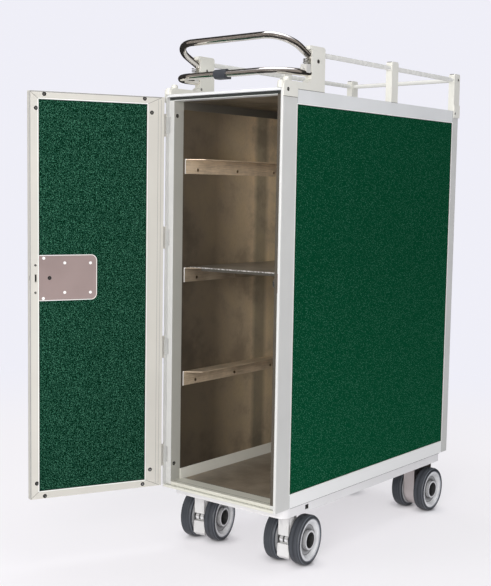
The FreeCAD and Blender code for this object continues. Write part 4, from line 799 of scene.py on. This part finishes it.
def lock_lines():
    """Painted highlights along the edge of the cover plate and on the spindle's cross slot, and the shade in
    the bolt's slot.
    """
    left, right, low, high = LOCK_PLATE
    proud = over_door("lock_plate")
    points = [on_door(right, high, proud)]
    for middle, first in ((high - LOCK_CORNER, 90), (low + LOCK_CORNER, 180)):
        points += [on_door(left + LOCK_CORNER + LOCK_CORNER * cos(radians(turn)),
                           middle + LOCK_CORNER * sin(radians(turn)), proud)
                   for turn in range(first, first + 91, 15)]
    points.append(on_door(right, low, proud))
    # painted highlight along the cover plate's edge
    bead("lock_plate_edge", path_runs(points), DOOR_NORMAL, 0.0014, 0.0002, "edge_highlight", "door")
    bead("bolt_slot_shade", [(on_door(BOLT_SLOT_ACROSS, BOLT_SLOT_LOW, -BOLT_SLOT_DEPTH),
                              on_door(BOLT_SLOT_ACROSS, BOLT_SLOT_HIGH, -BOLT_SLOT_DEPTH))],
         DOOR_NORMAL, 0.0030, 0.0003, "black_and_painted_shade", "door")
    # painted highlight on the spindle's cross slot
    tip = over_door("latch_spindle")
    slots = [(on_door(SPINDLE_ACROSS - reach, SPINDLE_Z - rise, tip),
              on_door(SPINDLE_ACROSS + reach, SPINDLE_Z + rise, tip)) for reach, rise in SPINDLE_SLOTS]
    bead("spindle_slot_highlight", slots, DOOR_NORMAL, 0.0007, 0.0001, "bright_steel", "handle")


def panel_lines():
    """A painted highlight along the frame's edge, and painted shade in the gap about the side panels."""
    window = (POST_FACE, REAR_POST_FACE, RAIL_LOW, RAIL_HIGH)
    for side, hand in SIDES:
        facing = Vector((side, 0, 0))
        frame_side = around(lambda y, z: on_cabinet(side * HALF_WIDTH, y, z), *window, ARRIS_WIDTH / 2)
        # painted highlight along the frame's edge
        bead(hand + "_panel_edge_highlight", frame_side, facing, ARRIS_WIDTH, 0.0002, "edge_highlight")
        panel_side = around(lambda y, z: on_cabinet(side * PANEL_X, y, z), *window, -GAP_INSET)
        # painted shade in the gap about the panel
        bead(hand + "_panel_shade_line", panel_side, facing, 0.0010, 0.0003, "black_and_painted_shade")


CASTING_START, CASTING_EDGE, FOOT_END = 0.001, 0.0475, 0.142
CASTING_LOW, CASTING_LINE = 0.8200, 0.8196     # a casting's lower edge on the post, and the line under it
GUARD_POST = (0.4055, 0.4325)
TOP_LINE = BODY_HEIGHT - 0.0002
TRAY_LINES = (                 # x, y from and to, z, width, height and finish
    ("_tray_seam", 0.1492, (0.054, 0.690), -0.0006, 0.0020, 0.0002, "black_and_painted_shade"),
    ("_slot_shade", 0.1471, (0.107, 0.125), -0.0115, 0.0130, 0.0002, "black_and_painted_shade"),
    ("_slot_cover", 0.1490, (0.601, 0.620), -0.0115, 0.0125, 0.0003, "tray_paint"),
)
CAP_X, CAP_Y, CAP_Z = (0.138, 0.149), (0.4054, 0.6999), 0.9232


def frame_lines():
    """Butt joints of the frame, the gap under the castings, and the seam and slots of the chassis tray."""
    for side, hand in SIDES:
        facing = Vector((side, 0, 0))

        def outer(*ends):
            return tuple(on_cabinet(side * HALF_WIDTH, y, z) for y, z in ends)

        joints = [outer((y, low), (y, high)) for y in (POST_FACE, REAR_POST_FACE)
                  for low, high in ((0.0, RAIL_LOW - 0.001), (RAIL_HIGH + 0.001, BODY_HEIGHT - 0.0005))]
        bead(hand + "_frame_joints", joints, facing, 0.0006, 0.00012, "edge_shade")
        castings = [outer((CASTING_EDGE, TOP_LINE), (FOOT_END, TOP_LINE)),
                    outer(*((y, TOP_LINE) for y in GUARD_POST)),
                    outer((CASTING_EDGE, CASTING_LOW), (CASTING_EDGE, TOP_LINE)),
                    outer((CASTING_START, CASTING_LINE), (CASTING_EDGE, CASTING_LINE))]
        bead(hand + "_casting_gap", castings, facing, 0.0009, 0.0003, "joint_line")
        for name, x, ends, z, width, height, finish in TRAY_LINES:
            bead(hand + name, [tuple(on_cabinet(side * x, y, z) for y in ends)], facing, width, height,
                 finish)
        caps = [tuple(on_cabinet(side * x, y, CAP_Z) for x in CAP_X) for y in CAP_Y]
        bead(hand + "_post_caps", caps, FRONT, 0.0014, 0.0003, "joint_line")


def level_run(low_x, high_x, y, z):
    return on_cabinet(low_x, y, z), on_cabinet(high_x, y, z)


# heights of the painted shade strip on the header's land and of the painted highlight under it
HEADER_SHADE_Z, HEADER_FOLD_Z = 0.8276, 0.8243
LOCK_STRIP_X, LOCK_STRIP_LOW, LOCK_STRIP_HIGH = 0.1370, 0.0125, 0.8244
# sill lines by y and z; the front one is painted shade in the step behind the lip
SILL_FOLDS = ((LAND_Y - 0.0006, 0.0050), (0.0195, 0.0120), (0.0492, 0.0120))


def opening_lines():
    """Painted shade as a dark strip on the header's land under its lip, a dark strip on the lock side's land,
    a painted highlight along the header's lower edge, and dark lines along the sill's folds, the front one
    painted shade behind the lip.
    """
    # painted shade: a dark strip on the header's land, shaded by its lip
    bead("header_land_shade", [level_run(-0.1450, 0.1410, LAND_Y, HEADER_SHADE_Z)], FRONT, 0.0064, 0.0004,
         "painted_land_shade")
    # a dark strip along the land of the lock-side jamb
    bead("lock_side_dark_strip", [(on_cabinet(LOCK_STRIP_X, LAND_Y, LOCK_STRIP_LOW),
                             on_cabinet(LOCK_STRIP_X, LAND_Y, LOCK_STRIP_HIGH))],
         FRONT, 0.0082, 0.0004, "dark_land_strip")
    # painted highlight along the header's lower edge
    bead("header_edge_highlight", [level_run(-JAMB_X, JAMB_X, LAND_Y, HEADER_FOLD_Z)], FRONT, 0.0010, 0.0004, "edge_highlight")
    # the front sill line is painted shade in the step behind the lip
    bead("sill_folds", [level_run(-0.1455, 0.1455, y, z) for y, z in SILL_FOLDS], UP, 0.0012, 0.0002,
         "joint_line")


KEEPER_OUTLINE = ((0.1330, 0.4485), (0.1292, 0.4500), (0.1282, 0.4525), (0.1282, 0.4595),
                  (0.1308, 0.4655), (0.1330, 0.4658))
KEEPER_NEAR, KEEPER_FAR, KEEPER_EDGE = LAND_Y + 0.0002, 0.0200, 0.0003


def latch_keeper():
    """Small bent plate on the lock-side jamb that the bolt's tongue drops behind."""
    form = bmesh.new()
    rings = [[form.verts.new(on_cabinet(x, y, z)) for x, z in KEEPER_OUTLINE]
             for y in (KEEPER_NEAR, KEEPER_FAR)]
    close_prism(form, *rings)
    bmesh.ops.recalc_face_normals(form, faces=form.faces)
    bmesh.ops.bevel(form, geom=form.edges[:], offset=KEEPER_EDGE, segments=1, affect="EDGES")
    ride_piece("latch_keeper", mesh_from("latch_keeper", form), "root", ("screw_steel",))
    bead("keeper_shade", [(on_cabinet(0.1306, KEEPER_NEAR, 0.4520), on_cabinet(0.1306, KEEPER_NEAR, 0.4610))],
         FRONT, 0.0026, 0.0003, "black_and_painted_shade")


# ---------------------------------------------------------------- stage
BACKGROUND = (0.865, 0.863, 0.935)
FLOOR_COLOUR = (0.890, 0.872, 0.905)
FLOOR_SIZE = 40.0
FLOOR_CLEAR = 0.7              # radius round the cart inside which the floor is plain
FLOOR_FADE = 2.4               # radius where it has become the background
FLOOR_GLOW = 0.55              # share of the glow near the cart, which keeps the shadow soft
NEAR_GLOW = (1.0, 0.975, 1.0)


def background_share(nodes, links):
    """1 for rays that should see the background itself: camera, glossy and transmission rays."""
    path = nodes.new("ShaderNodeLightPath")
    total = path.outputs["Is Camera Ray"]
    for name in ("Is Glossy Ray", "Is Transmission Ray"):
        add = nodes.new("ShaderNodeMath")
        add.operation = "MAXIMUM"
        links.new(total, add.inputs[0])
        links.new(path.outputs[name], add.inputs[1])
        total = add.outputs[0]
    return total


CONTACT_REACH = 0.055


def contact_clearance(graph):
    """0 where a wheel stands and 1 past the reach round it."""
    place = graph.place()
    nearest = 1.0
    for name in NODES:
        if name.endswith("wheel_tyre"):
            low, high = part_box(name)
            middle = (low + high) / 2
            apart = graph.vector("DISTANCE", place, (middle.x, middle.y, 0)).outputs["Value"]
            nearest = graph.math("MINIMUM", apart, nearest)
    reach = graph.add("MapRange", interpolation_type="SMOOTHSTEP")
    reach.inputs["From Max"].default_value = CONTACT_REACH
    graph.join(nearest, reach.inputs["Value"])
    return reach.outputs["Result"]


def make_floor():
    mesh = bpy.data.meshes.new("floor")
    half = FLOOR_SIZE / 2
    corners = [(-half, -half, 0), (half, -half, 0), (half, half, 0), (-half, half, 0)]
    mesh.from_pydata(corners, [], [(0, 1, 2, 3)])
    floor = linked("floor", mesh)
    graph = Graph("floor")
    graph.set("Roughness", 0.6)
    graph.set("Specular IOR Level", 0.2)
    spread = graph.add("MapRange", interpolation_type="SMOOTHSTEP")
    spread.inputs["From Min"].default_value = FLOOR_CLEAR
    spread.inputs["From Max"].default_value = FLOOR_FADE
    spread.inputs["To Min"].default_value = FLOOR_GLOW
    graph.join(graph.length(graph.place()), spread.inputs["Value"])
    glow = graph.add("Emission")
    far = graph.math("DIVIDE", graph.math("SUBTRACT", spread.outputs["Result"], FLOOR_GLOW), 1 - FLOOR_GLOW)
    graph.join(graph.mix(far, NEAR_GLOW, BACKGROUND), glow.inputs["Color"])
    mixer = graph.add("MixShader")
    clear = contact_clearance(graph)
    # painted contact shadows: the floor's colour turns dark about where each wheel stands
    graph.colour(graph.ramp(clear, [(0.02, shaded(FLOOR_COLOUR, 0.12)), (0.35, FLOOR_COLOUR)]))
    share = graph.math("MULTIPLY", graph.math("MULTIPLY", spread.outputs["Result"], clear),
                       background_share(graph.nodes, graph.links))
    graph.join(share, mixer.inputs["Fac"])
    graph.join(graph.shader.outputs[0], mixer.inputs[1])
    graph.join(glow.outputs[0], mixer.inputs[2])
    graph.join(mixer.outputs[0], graph.nodes["Material Output"].inputs["Surface"])
    mesh.materials.append(graph.material)


AMBIENT = 0.62


def make_world():
    world = bpy.data.worlds.new("studio")
    world.use_nodes = True
    nodes, links = world.node_tree.nodes, world.node_tree.links
    soft = nodes["Background"]
    soft.inputs["Color"].default_value = (0.93, 0.955, 1.0, 1)
    soft.inputs["Strength"].default_value = AMBIENT
    shown = nodes.new("ShaderNodeBackground")
    shown.inputs["Color"].default_value = (*BACKGROUND, 1)
    mixer = nodes.new("ShaderNodeMixShader")
    links.new(background_share(nodes, links), mixer.inputs["Fac"])
    links.new(soft.outputs[0], mixer.inputs[1])
    links.new(shown.outputs[0], mixer.inputs[2])
    links.new(mixer.outputs[0], nodes["World Output"].inputs["Surface"])
    bpy.context.scene.world = world


def soft_box(name, place, aim, size, power, tint=(1.0, 0.985, 0.965)):
    data = bpy.data.lights.new(name, "AREA")
    data.shape = "RECTANGLE"
    data.size, data.size_y = size
    data.energy = power
    data.color = tint
    lamp = linked(name, data)
    lamp.location = place
    lamp.rotation_euler = (Vector(aim) - Vector(place)).to_track_quat("-Z", "Y").to_euler()


def make_lights():
    middle = (0, 0, 0.6)
    soft_box("key", (-1.4, -3.2, 2.6), middle, (1.4, 1.4), 20)
    soft_box("fill", (1.6, -3.1, 1.2), middle, (1.4, 1.6), 78)
    soft_box("top", (0, 0.2, 3.6), middle, (2.6, 2.6), 40)


CARD_SIDES = 64
CARD_DARK = (0.02, 0.018, 0.016)


def ring_card(name, lower, upper, colour, turns=(0.0, 1.0)):
    """A card round the cart that only reflections see, between two (radius, height) arcs."""
    angles = [2 * pi * (turns[0] + (turns[1] - turns[0]) * k / CARD_SIDES) for k in range(CARD_SIDES + 1)]
    points = [(radius * cos(angle), radius * sin(angle), height)
              for radius, height in (lower, upper) for angle in angles]
    faces = [(k, k + 1, k + CARD_SIDES + 2, k + CARD_SIDES + 1) for k in range(CARD_SIDES)]
    mesh = bpy.data.meshes.new(name)
    mesh.from_pydata(points, [], faces)
    card = linked(name, mesh)
    graph = Graph(name)
    graph.set("Base Color", colour)
    graph.set("Roughness", 0.9)
    mesh.materials.append(graph.material)
    card.visible_camera = False
    card.visible_diffuse = False
    card.visible_shadow = False


def make_cards():
    ring_card("high_card", (2.5, 0.30), (2.5, 3.1), (0.24, 0.215, 0.19))
    ring_card("rear_card", (2.4, 0.30), (2.4, 5.2), CARD_DARK, (0.12, 0.60))
    ring_card("low_card", (2.5, 0.02), (2.5, 0.30), CARD_DARK)
    ring_card("floor_card", (0.48, 0.02), (2.5, 0.02), CARD_DARK)


# ---------------------------------------------------------------- the whole picture
bpy.context.scene.view_settings.view_transform = "Standard"
make_camera()
dress_nodes()
dress_wheels()
door_rivets()
jamb_rivets()
casting_screws()
door_lines()
lock_lines()
panel_lines()
frame_lines()
opening_lines()
latch_keeper()
make_floor()
make_world()
make_lights()
make_cards()
